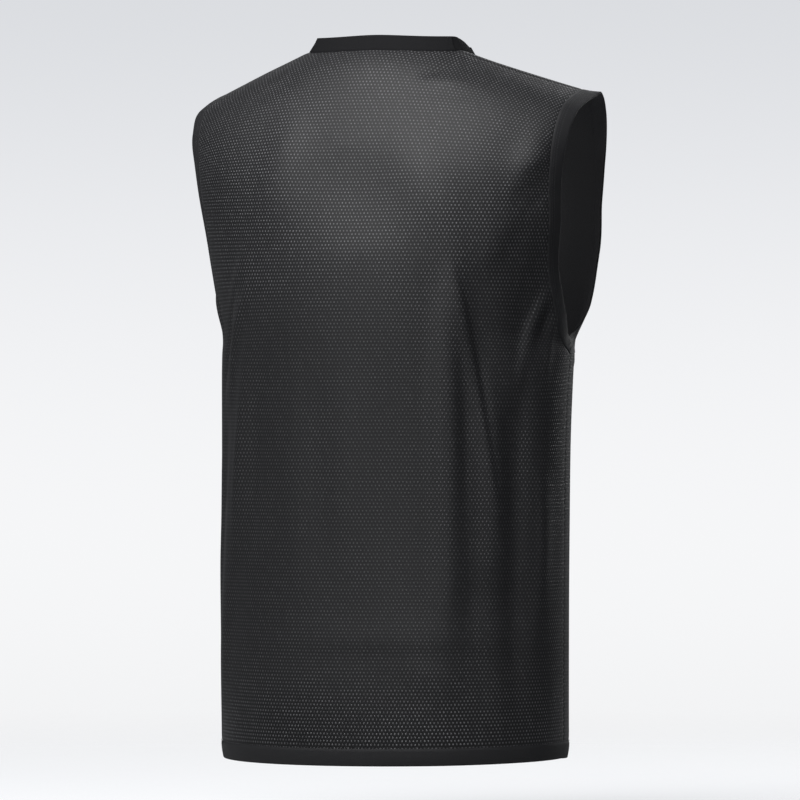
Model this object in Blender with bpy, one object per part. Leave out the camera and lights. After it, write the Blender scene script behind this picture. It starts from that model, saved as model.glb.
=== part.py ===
"""Sleeveless training tee, filled out as if worn, with nobody in it.

Metres, +Z up. The front faces -Y, the back +Y, and the wearer's left is +X.
The origin lies between the shoulders, level with the neck ends of the
shoulder seams, where the garment bears on its wearer.

The cloth's form is one surface. A position on it is (across, way): across is
0 on the centre line and 1 at the side, and way runs from the back hem up the
back, over the shoulder and down the front. Each panel is the part of that
surface between its own seams. Above the underarm a section runs on past the
armhole seam, which keeps only the section's reach, so the cloth there curves
as it would under a sleeve. The neckline is an egg cut through the surface.
Folds move the surface along its normal.
"""

import math
from collections import namedtuple

import bpy
import numpy as np

# ---- Cloth and seams -------------------------------------------------------
PANEL_WALL = 0.0016
BAND_WALL = 0.0024
BAND_PROUD = 0.0004
SEAM_GAP = 0.0004

# ---- Bands -----------------------------------------------------------------
NECK_BAND_WIDTH = 0.0160
ARMHOLE_BAND_WIDTH = 0.0150
HEM_BAND_WIDTH = 0.0160
HEM_TURN_IN = 0.0020
ARMHOLE_TURN_IN = 0.0015
NECK_LIFT_BACK = 0.85
NECK_LIFT_FRONT = 0.25

# ---- Form of the filled-out cloth -------------------------------------------
# One row per section, from the back hem over the shoulder to the front hem.
#   way                 knot along the form
#   mid_y, mid_z        point on the centre line
#   straight            how far the section runs straight out from the middle
#   bend_x, _y, _z      point that the section bends round on its way outwards
#   end_x, _y, _z       its end, on the side seam or at the armhole
#   reach               share of the section that the armhole seam leaves
# The side seam is shared, so the back's and the front's end points match there.
Section = namedtuple(
    "Section", "name way mid_y mid_z straight bend_x bend_y bend_z end_x end_y end_z reach"
)
SECTION_TABLE = [
    ("back hem", 0.000, 0.143, -0.7085, 0.100, 0.1785, 0.083, -0.706, 0.1785, 0.006, -0.703, 1.000),
    ("back hip", 0.100, 0.1425, -0.602, 0.100, 0.1785, 0.083, -0.601, 0.1785, 0.006, -0.600, 1.000),
    ("back waist", 0.220, 0.141, -0.480, 0.100, 0.179, 0.081, -0.480, 0.179, 0.005, -0.480, 1.000),
    ("back ribs", 0.320, 0.1415, -0.380, 0.102, 0.180, 0.080, -0.380, 0.1797, 0.003, -0.380, 1.000),
    ("back underarm", 0.400, 0.1425, -0.301, 0.104, 0.180, 0.080, -0.301, 0.1815, -0.004, -0.301, 1.000),
    ("back side", 0.420, 0.1428, -0.281, 0.105, 0.1775, 0.0805, -0.2825, 0.1822, -0.005, -0.2905, 0.9243),
    ("back blade low", 0.450, 0.1425, -0.250, 0.104, 0.1765, 0.0825, -0.251, 0.188, 0.003, -0.2563, 0.8742),
    ("back blade", 0.500, 0.1395, -0.198, 0.100, 0.172, 0.092, -0.198, 0.1918, 0.030, -0.198, 0.875),
    ("back blade top", 0.550, 0.1315, -0.146, 0.095, 0.1655, 0.101, -0.146, 0.1898, 0.058, -0.1472, 0.9408),
    ("back yoke", 0.600, 0.118, -0.096, 0.090, 0.160, 0.096, -0.0995, 0.1875, 0.068, -0.107, 1.000),
    ("back yoke top", 0.645, 0.099, -0.0475, 0.080, 0.156, 0.076, -0.055, 0.1898, 0.058, -0.0735, 1.000),
    ("back neck", 0.685, 0.077, -0.008, 0.062, 0.142, 0.053, -0.0325, 0.1905, 0.031, -0.0505, 1.000),
    ("shoulder seam", 0.715, 0.051, 0.0115, 0.047, 0.127, 0.041, -0.019, 0.189, -0.013, -0.0385, 1.000),
    ("ridge", 0.730, 0.042, 0.011, 0.053, 0.137, 0.030, -0.0195, 0.1884, -0.024, -0.0378, 1.000),
    ("front neck side", 0.765, 0.001, -0.0045, 0.060, 0.150, -0.008, -0.0325, 0.1874, -0.040, -0.0435, 1.000),
    ("front yoke top", 0.800, -0.038, -0.018, 0.074, 0.150, -0.038, -0.048, 0.1862, -0.053, -0.057, 1.000),
    ("front yoke", 0.845, -0.070, -0.052, 0.080, 0.146, -0.071, -0.072, 0.185, -0.066, -0.081, 1.000),
    ("front chest top", 0.895, -0.093, -0.099, 0.087, 0.145, -0.102, -0.102, 0.1832, -0.078, -0.111, 1.000),
    ("front chest high", 0.950, -0.1085, -0.148, 0.092, 0.148, -0.112, -0.148, 0.1816, -0.081, -0.150, 1.000),
    ("front chest", 1.000, -0.1165, -0.198, 0.098, 0.156, -0.112, -0.198, 0.1883, -0.070, -0.1993, 0.9235),
    ("front chest low", 1.050, -0.1195, -0.250, 0.102, 0.1735, -0.093, -0.252, 0.1929, -0.030, -0.2556, 0.8431),
    ("front side", 1.080, -0.1195, -0.281, 0.104, 0.176, -0.076, -0.2825, 0.1822, -0.005, -0.2905, 0.887),
    ("front underarm", 1.100, -0.1195, -0.301, 0.104, 0.178, -0.072, -0.301, 0.1815, -0.004, -0.301, 1.000),
    ("front ribs", 1.180, -0.1185, -0.380, 0.102, 0.179, -0.065, -0.380, 0.1797, 0.003, -0.380, 1.000),
    ("front waist", 1.280, -0.117, -0.480, 0.100, 0.1785, -0.063, -0.480, 0.179, 0.005, -0.480, 1.000),
    ("front hip", 1.400, -0.117, -0.600, 0.100, 0.1785, -0.062, -0.600, 0.1785, 0.006, -0.600, 1.000),
    ("front hem", 1.500, -0.117, -0.704, 0.100, 0.1785, -0.062, -0.704, 0.1785, 0.006, -0.703, 1.000),
]
SECTIONS = [Section(*row) for row in SECTION_TABLE]
BACK_HEM = 0.0
BACK_UNDERARM = 0.400
SHOULDER_SEAM = 0.715
FRONT_UNDERARM = 1.100
FRONT_HEM = 1.500

# ---- Cut edges ---------------------------------------------------------------
# Neckline seam, an egg seen from above. Ahead of its widest place the egg is
# tilted, so that it deepens as the cloth falls below the origin's level.
NECK_HALF_WIDTH = 0.0885
NECK_WIDEST_Y = 0.0180
NECK_BACK_DEPTH = 0.0490
NECK_FRONT_DEPTH = 0.1400
NECK_TILT = math.radians(30)
# The cloth rises towards the collar at the sides of the neck.
NECK_RISE = 0.0035
NECK_RISE_RUN = 0.0180

# ---- Folds -------------------------------------------------------------------
# across is 0 at the centre back, 1 at a side seam and 2 at the centre front,
# positive towards the wearer's left. A negative height is a trough.
QUARTER_GIRTH = 0.2450
Fold = namedtuple("Fold", "name across z to_across to_z width height run_out")
FOLDS = [
    Fold("long ridge", -0.36, -0.225, -0.33, -0.600, 0.032, 0.0060, 0.110),
    Fold("trough beside it", -0.47, -0.270, -0.45, -0.600, 0.028, -0.0040, 0.100),
    Fold("second ridge", -0.56, -0.335, -0.55, -0.540, 0.028, 0.0030, 0.080),
    Fold("side trough", -0.68, -0.330, -0.66, -0.600, 0.028, -0.0035, 0.080),
    Fold("underarm crease", -0.80, -0.262, -0.68, -0.320, 0.030, 0.0035, 0.045),
    Fold("blade hollow", -0.66, -0.170, -0.54, -0.290, 0.050, -0.0040, 0.070),
    Fold("left ridge", 0.50, -0.235, 0.62, -0.330, 0.028, 0.0035, 0.045),
    Fold("left trough", 0.63, -0.320, 0.70, -0.420, 0.028, -0.0030, 0.050),
    Fold("left long ridge", 0.46, -0.320, 0.68, -0.570, 0.036, 0.0035, 0.080),
    Fold("low back fullness", -0.30, -0.600, -0.34, -0.670, 0.060, 0.0030, 0.060),
    Fold("front long ridge", 1.62, -0.300, 1.66, -0.600, 0.034, 0.0050, 0.110),
    Fold("front long trough", 1.50, -0.320, 1.52, -0.590, 0.030, -0.0035, 0.100),
    Fold("front right ridge", -1.58, -0.330, -1.68, -0.620, 0.032, 0.0045, 0.100),
    Fold("front right trough", -1.72, -0.310, -1.80, -0.560, 0.030, -0.0035, 0.100),
    Fold("front armhole crease", 1.28, -0.250, 1.44, -0.320, 0.030, 0.0030, 0.050),
    Fold("front right crease", -1.28, -0.255, -1.40, -0.330, 0.030, 0.0030, 0.050),
]

# ---- Mesh density --------------------------------------------------------------
SHOULDER_COLUMNS = 6
NECK_COLUMNS = 15
SIDE_ROWS = 13
ARMHOLE_ROWS = 24
HEM_ROWS = 2
BAND_STEPS = 2
FINE_STEPS = 400
CUT_ROUNDS = 40
STEP = 1e-4

COLLECTION_NAME = "workout_tee"
Finish = namedtuple("Finish", "name colour roughness")
KNIT = Finish("dotted_knit", (0.018, 0.018, 0.021, 1.0), 0.62)
RIB = Finish("smooth_rib", (0.014, 0.014, 0.017, 1.0), 0.70)


# ---- The form --------------------------------------------------------------------
def control_points(section):
    """Four control points of a section, from the centre line to its end."""
    return [
        (0.0, section.mid_y, section.mid_z),
        (section.straight, section.mid_y, section.mid_z),
        (section.bend_x, section.bend_y, section.bend_z),
        (section.end_x, section.end_y, section.end_z),
    ]


def slopes_beside(values, corners):
    """Slopes of the table's values before and after each knot, unlike at corners."""
    steps = (np.diff(values, axis=0).T / np.diff(WAYS)).T
    before = np.gradient(values, WAYS, axis=0)
    after = before.copy()
    for corner in np.flatnonzero(np.isin(WAYS, corners)):
        before[corner] = steps[corner - 1]
        after[corner] = steps[corner]
    return before, after


WAYS = np.array([section.way for section in SECTIONS])
CONTROLS = np.array([control_points(section) for section in SECTIONS])
CONTROL_SLOPES = slopes_beside(CONTROLS, [])
REACHES = np.array([section.reach for section in SECTIONS])
REACH_SLOPES = slopes_beside(REACHES, [BACK_UNDERARM, FRONT_UNDERARM])


def between_knots(values, slopes, way):
    """The table's values at each way, joined by cubic curves."""
    before, after = slopes
    index = np.clip(np.searchsorted(WAYS, way, side="right") - 1, 0, len(WAYS) - 2)
    shape = way.shape + (1,) * (values.ndim - 1)
    length = (WAYS[index + 1] - WAYS[index]).reshape(shape)
    t = (way - WAYS[index]).reshape(shape) / length
    return (
        values[index] * (2 * t**3 - 3 * t**2 + 1)
        + after[index] * length * (t**3 - 2 * t**2 + t)
        + values[index + 1] * (3 * t**2 - 2 * t**3)
        + before[index + 1] * length * (t**3 - t**2)
    )


def neck_depth(points):
    """Share of the neckline's depth, above 0 behind its widest place."""
    behind = points[..., 1] - NECK_WIDEST_Y
    fall = np.minimum(points[..., 2], 0.0)
    tilted = behind * math.cos(NECK_TILT) + fall * math.sin(NECK_TILT)
    return np.where(behind > 0, behind / NECK_BACK_DEPTH, tilted / NECK_FRONT_DEPTH)


def neck_share(points):
    """How far out points lie from the neck's centre, 1 on the neckline."""
    return np.hypot(points[..., 0] / NECK_HALF_WIDTH, neck_depth(points))


def section_share(across, way):
    """Share of the whole section at a position, which folds are placed by."""
    return across * between_knots(REACHES, REACH_SLOPES, way)


def form(across, way):
    """Points of the smooth form, before its folds."""
    across, way = np.broadcast_arrays(np.asarray(across, float), np.asarray(way, float))
    controls = between_knots(CONTROLS, CONTROL_SLOPES, way)
    t = np.abs(section_share(across, way))[..., None]
    point = (
        controls[..., 0, :] * (1 - t) ** 3
        + controls[..., 1, :] * 3 * t * (1 - t) ** 2
        + controls[..., 2, :] * 3 * t**2 * (1 - t)
        + controls[..., 3, :] * t**3
    )
    outside = np.maximum(neck_share(point) - 1.0, 0.0) * NECK_HALF_WIDTH
    sideways = np.minimum(point[..., 0] / NECK_HALF_WIDTH, 1.0) ** 2
    point[..., 2] += NECK_RISE * sideways * np.exp(-outside / NECK_RISE_RUN)
    point[..., 0] *= np.where(across < 0, -1.0, 1.0)
    return point


def unit(vector):
    """The vectors at length 1."""
    return vector / np.linalg.norm(vector, axis=-1, keepdims=True)


def form_normal(across, way):
    """Outward normals of the smooth form."""
    half = np.abs(across)
    along_across = form(half + STEP, way) - form(half - np.minimum(STEP, half), way)
    along_way = form(half, way + STEP) - form(half, way - STEP)
    normal = unit(np.cross(along_way, along_across))
    normal[..., 0] *= np.where(np.asarray(across) < 0, -1.0, 1.0)
    return normal


def fold_height(across, way, z):
    """How far the folds lift the cloth off the smooth form."""
    share = section_share(across, way)
    side = np.where(across < 0, -1.0, 1.0)
    girth = np.where(way <= SHOULDER_SEAM, share, side * (2.0 - np.abs(share)))
    height = np.zeros(np.shape(girth))
    for fold in FOLDS:
        run = np.array([(fold.to_across - fold.across) * QUARTER_GIRTH, fold.to_z - fold.z])
        length = np.linalg.norm(run)
        run /= length
        from_start = np.stack([(girth - fold.across) * QUARTER_GIRTH, z - fold.z], axis=-1)
        along = from_start @ run
        aside = from_start @ np.array([-run[1], run[0]])
        past_end = np.maximum(np.maximum(-along, along - length), 0.0) / fold.run_out
        height += fold.height * np.exp(-((aside / (0.5 * fold.width)) ** 2) - past_end**2)
    return height


def cloth(across, way):
    """Outer points of the folded cloth and the normals of its form."""
    across, way = np.broadcast_arrays(np.asarray(across, float), np.asarray(way, float))
    point = form(across, way)
    normal = form_normal(across, way)
    return point + normal * fold_height(across, way, point[..., 2])[..., None], normal


# ---- Cut edges --------------------------------------------------------------------
def inside_neckline(points):
    """True where points lie inside the neckline."""
    return neck_share(points) < 1


def crossings(is_inside, outer, inner):
    """Positions where a cut edge is crossed on the way from outer to inner."""
    for _ in range(CUT_ROUNDS):
        middle = (outer + inner) / 2
        inside = is_inside(form(middle[:, 0], middle[:, 1]))[:, None]
        inner = np.where(inside, middle, inner)
        outer = np.where(inside, outer, middle)
    return outer


def positions(across, way):
    """Positions as rows of across and way."""
    across, way = np.broadcast_arrays(np.asarray(across, float), np.asarray(way, float))
    return np.stack([across, way], axis=-1)


def spaced(path, count):
    """The path's positions at count equal steps of length on the form."""
    points = form(path[:, 0], path[:, 1])
    reach = np.concatenate([[0.0], np.cumsum(np.linalg.norm(np.diff(points, axis=0), axis=1))])
    wanted = np.linspace(0.0, reach[-1], count + 1)
    return np.stack([np.interp(wanted, reach, path[:, axis]) for axis in (0, 1)], axis=-1)


def neck_edge(chest):
    """Positions along the neckline, from the shoulder seam to the centre."""
    start = positions([1.0], SHOULDER_SEAM)
    corner = crossings(inside_neckline, start, positions([0.0], SHOULDER_SEAM))
    across = corner[0, 0] * np.cos(np.linspace(0.0, 0.5 * math.pi, FINE_STEPS)[1:])
    start = positions(across, chest)
    path = crossings(inside_neckline, start, positions(across, SHOULDER_SEAM))
    return np.concatenate([corner, path])


def blend(start, end, share):
    """A share of the way from start to end."""
    return start + (end - start) * share


def half_panel(hem, underarm):
    """Grid of positions from the centre line to the side, hem band to shoulder."""
    first = hem + math.copysign(HEM_BAND_WIDTH, underarm - hem)
    side = positions(1.0, np.linspace(first, underarm, FINE_STEPS))
    armhole = positions(1.0, np.linspace(underarm, SHOULDER_SEAM, FINE_STEPS))
    neck = neck_edge(underarm)
    shoulder = positions(np.linspace(1.0, neck[0, 0], FINE_STEPS), SHOULDER_SEAM)
    right = np.concatenate([spaced(side, SIDE_ROWS), spaced(armhole, ARMHOLE_ROWS)[1:]])
    top = np.concatenate([spaced(shoulder, SHOULDER_COLUMNS), spaced(neck, NECK_COLUMNS)[1:]])
    top = top[::-1]
    below = np.linspace(first, underarm, SIDE_ROWS + 1)
    above = np.linspace(underarm, top[0, 1], ARMHOLE_ROWS + 1)[1:]
    left = positions(0.0, np.concatenate([below, above]))
    bottom = positions(np.linspace(0.0, 1.0, len(top)), first)
    u = np.linspace(0.0, 1.0, len(top))[None, :, None]
    v = np.linspace(0.0, 1.0, len(right))[:, None, None]
    sides = blend(left[:, None], right[:, None], u)
    ends = blend(bottom[None], top[None], v)
    corners = blend(blend(left[0], right[0], u), blend(left[-1], right[-1], u), v)
    return sides + ends - corners


def mirrored(half):
    """The whole width of a grid whose first column is the centre line."""
    other = half[:, :0:-1] * [-1.0, 1.0]
    return np.concatenate([other, half], axis=1)


# ---- Solids -------------------------------------------------------------------------
def collection():
    """The collection that holds the garment."""
    found = bpy.data.collections.get(COLLECTION_NAME)
    if found is None:
        found = bpy.data.collections.new(COLLECTION_NAME)
        bpy.context.scene.collection.children.link(found)
    return found


def material(finish):
    """A Principled material of the finish's own name."""
    found = bpy.data.materials.get(finish.name)
    if found is None:
        found = bpy.data.materials.new(finish.name)
        found.use_nodes = True
        shader = found.node_tree.nodes["Principled BSDF"]
        shader.inputs["Base Color"].default_value = finish.colour
        shader.inputs["Roughness"].default_value = finish.roughness
        shader.inputs["Metallic"].default_value = 0.0
    return found


def add_solid(name, points, faces, finish):
    """An object of one closed mesh, its faces turned outwards."""
    mesh = bpy.data.meshes.new(name)
    mesh.from_pydata([tuple(point) for point in points], [], faces)
    mesh.validate()
    volume = sum(
        np.dot(points[face[0]], np.cross(points[face[i]], points[face[i + 1]]))
        for face in faces
        for i in range(1, len(face) - 1)
    )
    if volume < 0:
        mesh.flip_normals()
    mesh.shade_smooth()
    mesh.set_sharp_from_angle(angle=math.radians(40))
    mesh.materials.append(material(finish))
    solid = bpy.data.objects.new(name, mesh)
    collection().objects.link(solid)
    return solid


def add_wall(name, outer, inner, finish):
    """A wall between two grids of points, closed along its four edges."""
    rows, columns = outer.shape[:2]
    points = np.concatenate([outer.reshape(-1, 3), inner.reshape(-1, 3)])
    layer = rows * columns

    def at(row, column, side):
        return side * layer + row * columns + column

    faces = []
    for row in range(rows - 1):
        for column in range(columns - 1):
            corners = [(row, column), (row, column + 1), (row + 1, column + 1), (row + 1, column)]
            faces.append([at(r, c, 0) for r, c in corners])
            faces.append([at(r, c, 1) for r, c in reversed(corners)])
    rim = [(0, column) for column in range(columns)]
    rim += [(row, columns - 1) for row in range(1, rows)]
    rim += [(rows - 1, column) for column in range(columns - 2, -1, -1)]
    rim += [(row, 0) for row in range(rows - 2, 0, -1)]
    for here, there in zip(rim, rim[1:] + rim[:1]):
        faces.append([at(*there, 0), at(*here, 0), at(*here, 1), at(*there, 1)])
    return add_solid(name, points, faces, finish)


def add_ring(name, sections, finish):
    """A ring through closed sections, the last joined to the first."""
    count, size = sections.shape[:2]
    faces = [
        [
            ring * size + corner,
            ring * size + (corner + 1) % size,
            (ring + 1) % count * size + (corner + 1) % size,
            (ring + 1) % count * size + corner,
        ]
        for ring in range(count)
        for corner in range(size)
    ]
    return add_solid(name, sections.reshape(-1, 3), faces, finish)


def inward(edge, beside):
    """Directions from an edge towards the points beside it, square to the edge."""
    along = unit(np.gradient(edge, axis=0))
    towards = beside - edge
    return unit(towards - along * np.sum(towards * along, axis=-1, keepdims=True))


def drawn_in(points):
    """Grid edges moved half a seam gap into the piece."""
    half_gap = 0.5 * SEAM_GAP
    moved = points.copy()
    moved[0] += half_gap * inward(points[0], points[1])
    moved[-1] += half_gap * inward(points[-1], points[-2])
    moved[:, 0] += half_gap * inward(points[:, 0], points[:, 1])
    moved[:, -1] += half_gap * inward(points[:, -1], points[:, -2])
    return moved


def build_panel(name, hem, underarm):
    """A panel, and its positions for the bands that are sewn to it."""
    grid = mirrored(half_panel(hem, underarm))
    points, normals = cloth(grid[..., 0], grid[..., 1])
    outer = drawn_in(points)
    add_wall(name, outer, outer - PANEL_WALL * normals, KNIT)
    return grid


def build_hem(name, hem, panel_grid):
    """The band below a panel, turned in a little at its lower edge."""
    top = panel_grid[0]
    reach = np.linspace(0.0, 1.0, HEM_ROWS + 1)[:, None]
    ways = hem + (top[:, 1] - hem) * reach
    across = np.broadcast_to(top[:, 0], ways.shape)
    points, normals = cloth(across, ways)
    turn_in = HEM_TURN_IN * (1 - reach[..., None]) ** 2
    outer = drawn_in(points + (BAND_PROUD - turn_in) * normals)
    add_wall(name, outer, outer - BAND_WALL * normals, RIB)


def loop_tangent(points):
    """Unit tangents along a closed loop of points."""
    return unit(np.roll(points, -1, axis=0) - np.roll(points, 1, axis=0))


def band_sections(points, normals, heading, width, turn_in):
    """Closed sections of a band that leaves its seam along the heading."""
    reach = np.linspace(0.0, 1.0, BAND_STEPS + 1)
    outer = [
        points
        + heading * (0.5 * SEAM_GAP + width * share)
        + normals * (BAND_PROUD - turn_in * share**2)
        for share in reach
    ]
    inner = [points_out - BAND_WALL * normals for points_out in outer]
    rounded = outer[-1] + heading * 0.3 * BAND_WALL - 0.5 * BAND_WALL * normals
    return np.stack(outer + [rounded] + inner[::-1], axis=1)


def build_armhole(name, side, back_grid, front_grid):
    """The band round one armhole, on the edges of both panels."""
    edge = -1 if side > 0 else 0
    back = back_grid[SIDE_ROWS:, edge]
    front = front_grid[SIDE_ROWS:, edge]
    loop = np.concatenate([back, front[-2:0:-1]])
    points, normals = cloth(loop[:, 0], loop[:, 1])
    heading = unit(np.cross(normals, loop_tangent(points))) * side
    add_ring(
        name,
        band_sections(points, normals, heading, ARMHOLE_BAND_WIDTH, ARMHOLE_TURN_IN),
        RIB,
    )


def build_neck(name, back_grid, front_grid):
    """The collar, on the neckline of both panels and standing up from it."""
    first = SHOULDER_COLUMNS
    last = back_grid.shape[1] - 1 - SHOULDER_COLUMNS
    back = back_grid[-1, first : last + 1]
    front = front_grid[-1, first : last + 1]
    loop = np.concatenate([back, front[-2:0:-1]])
    points, normals = cloth(loop[:, 0], loop[:, 1])
    to_neck = unit(np.cross(loop_tangent(points), normals))
    share = np.clip(1.0 + neck_depth(points), 0.0, 1.0)
    lift = blend(NECK_LIFT_FRONT, NECK_LIFT_BACK, share)[:, None]
    heading = unit(to_neck + lift * np.array([0.0, 0.0, 1.0]))
    facing = unit(np.cross(heading, loop_tangent(points)))
    add_ring(name, band_sections(points, facing, heading, NECK_BAND_WIDTH, 0.0), RIB)


def main():
    """Clear the scene and build every piece of the garment."""
    for old in list(bpy.data.objects):
        bpy.data.objects.remove(old, do_unlink=True)
    back = build_panel("back_panel", BACK_HEM, BACK_UNDERARM)
    front = build_panel("front_panel", FRONT_HEM, FRONT_UNDERARM)
    build_hem("hem_back", BACK_HEM, back)
    build_hem("hem_front", FRONT_HEM, front)
    build_armhole("armhole_band_left", 1, back, front)
    build_armhole("armhole_band_right", -1, back, front)
    build_neck("neck_band", back, front)


main()
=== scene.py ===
import logging
import math
from dataclasses import dataclass, field
from enum import Enum
from typing import NamedTuple

import bpy
import numpy as np
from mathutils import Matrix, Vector


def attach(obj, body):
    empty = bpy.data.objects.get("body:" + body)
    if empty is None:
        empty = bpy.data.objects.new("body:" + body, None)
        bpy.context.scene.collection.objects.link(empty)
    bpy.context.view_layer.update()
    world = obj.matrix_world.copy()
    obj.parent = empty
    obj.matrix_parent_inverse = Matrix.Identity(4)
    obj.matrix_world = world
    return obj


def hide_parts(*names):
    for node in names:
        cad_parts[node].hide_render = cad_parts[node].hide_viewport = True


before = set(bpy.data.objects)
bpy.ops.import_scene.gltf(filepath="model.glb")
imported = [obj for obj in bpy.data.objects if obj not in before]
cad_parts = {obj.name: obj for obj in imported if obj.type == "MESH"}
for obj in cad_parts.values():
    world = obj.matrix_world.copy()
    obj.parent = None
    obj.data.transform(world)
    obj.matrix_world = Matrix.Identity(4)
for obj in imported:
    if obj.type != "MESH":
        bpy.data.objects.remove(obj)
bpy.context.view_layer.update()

LOG = logging.getLogger("tee")
CLOTH_UV = "cloth"
TRACE_STEPS = 1200
FRONT_CENTRE = 2.0  # in quarters of the girth, from the centre of the back

Material = bpy.types.Material
Object = bpy.types.Object
Socket = bpy.types.NodeSocket
Array = np.ndarray


# ---- Tables of the form --------------------------------------------------------------


class Section(NamedTuple):
    """One section of the filled-out cloth, from the centre line to its side."""

    name: str
    way: float
    mid_y: float
    mid_z: float
    straight: float
    bend_x: float
    bend_y: float
    bend_z: float
    end_x: float
    end_y: float
    end_z: float
    reach: float = 1.0


class Fold(NamedTuple):
    """One soft ridge, or with a negative height one trough."""

    name: str
    across: float
    z: float
    to_across: float
    to_z: float
    width: float
    height: float
    run_out: float


class Crease(NamedTuple):
    """One finer fold of the cloth, on a curved path that fades at both ends."""

    name: str
    path: tuple[tuple[float, float], ...]
    width: float
    height: float
    lean: float = 0.0


class Seam(Enum):
    """Where on the way from the back hem to the front hem a seam lies."""

    BACK_HEM = 0.0
    BACK_UNDERARM = 0.400
    SHOULDER = 0.715
    FRONT_UNDERARM = 1.100
    FRONT_HEM = 1.500


class Side(Enum):
    """A side of the wearer, as the sign of its X."""

    LEFT = 1
    RIGHT = -1


def table(kind: type, *rows: tuple) -> tuple:
    """Return the rows as tuples of a named kind."""
    return tuple(kind(*row) for row in rows)


SECTIONS = table(
    Section,
    # name, way, mid y and z, straight, bend x, y and z, end x, y and z, reach
    ("back hem", 0.0, 0.143, -0.7085, 0.1, 0.1785, 0.083, -0.706, 0.1785, 0.006, -0.703),
    ("back hip", 0.1, 0.1425, -0.602, 0.1, 0.1785, 0.083, -0.601, 0.1785, 0.006, -0.6),
    ("back waist", 0.22, 0.141, -0.48, 0.1, 0.179, 0.081, -0.48, 0.179, 0.005, -0.48),
    ("back ribs", 0.32, 0.1415, -0.38, 0.102, 0.18, 0.08, -0.38, 0.1797, 0.003, -0.38),
    ("back underarm", 0.4, 0.1425, -0.301, 0.104, 0.18, 0.08, -0.301, 0.1815, -0.004, -0.301),
    (
        "back side",
        0.42, 0.1428, -0.281, 0.105, 0.1775, 0.0805, -0.2825, 0.1822, -0.005, -0.2905, 0.9243,
    ),
    (
        "back blade low",
        0.45, 0.1425, -0.25, 0.104, 0.1765, 0.0825, -0.251, 0.188, 0.003, -0.2563, 0.8742,
    ),
    ("back blade", 0.5, 0.1395, -0.198, 0.1, 0.172, 0.092, -0.198, 0.1918, 0.03, -0.198, 0.875),
    (
        "back blade top",
        0.55, 0.1315, -0.146, 0.095, 0.1655, 0.101, -0.146, 0.1898, 0.058, -0.1472, 0.9408,
    ),
    ("back yoke", 0.6, 0.118, -0.096, 0.09, 0.16, 0.096, -0.0995, 0.1875, 0.068, -0.107),
    ("back yoke top", 0.645, 0.099, -0.0475, 0.08, 0.156, 0.076, -0.055, 0.1898, 0.058, -0.0735),
    ("back neck", 0.685, 0.077, -0.008, 0.062, 0.142, 0.053, -0.0325, 0.1905, 0.031, -0.0505),
    ("shoulder seam", 0.715, 0.051, 0.0115, 0.047, 0.127, 0.041, -0.019, 0.189, -0.013, -0.0385),
    ("ridge", 0.73, 0.042, 0.011, 0.053, 0.137, 0.03, -0.0195, 0.1884, -0.024, -0.0378),
    (
        "front neck side",
        0.765, 0.001, -0.0045, 0.06, 0.15, -0.008, -0.0325, 0.1874, -0.04, -0.0435,
    ),
    ("front yoke top", 0.8, -0.038, -0.018, 0.074, 0.15, -0.038, -0.048, 0.1862, -0.053, -0.057),
    ("front yoke", 0.845, -0.07, -0.052, 0.08, 0.146, -0.071, -0.072, 0.185, -0.066, -0.081),
    (
        "front chest top",
        0.895, -0.093, -0.099, 0.087, 0.145, -0.102, -0.102, 0.1832, -0.078, -0.111,
    ),
    (
        "front chest high",
        0.95, -0.1085, -0.148, 0.092, 0.148, -0.112, -0.148, 0.1816, -0.081, -0.15,
    ),
    (
        "front chest",
        1.0, -0.1165, -0.198, 0.098, 0.156, -0.112, -0.198, 0.1883, -0.07, -0.1993, 0.9235,
    ),
    (
        "front chest low",
        1.05, -0.1195, -0.25, 0.102, 0.1735, -0.093, -0.252, 0.1929, -0.03, -0.2556, 0.8431,
    ),
    (
        "front side",
        1.08, -0.1195, -0.281, 0.104, 0.176, -0.076, -0.2825, 0.1822, -0.005, -0.2905, 0.887,
    ),
    ("front underarm", 1.1, -0.1195, -0.301, 0.104, 0.178, -0.072, -0.301, 0.1815, -0.004, -0.301),
    ("front ribs", 1.18, -0.1185, -0.38, 0.102, 0.179, -0.065, -0.38, 0.1797, 0.003, -0.38),
    ("front waist", 1.28, -0.117, -0.48, 0.1, 0.1785, -0.063, -0.48, 0.179, 0.005, -0.48),
    ("front hip", 1.4, -0.117, -0.6, 0.1, 0.1785, -0.062, -0.6, 0.1785, 0.006, -0.6),
    ("front hem", 1.5, -0.117, -0.704, 0.1, 0.1785, -0.062, -0.704, 0.1785, 0.006, -0.703),
)

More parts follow.
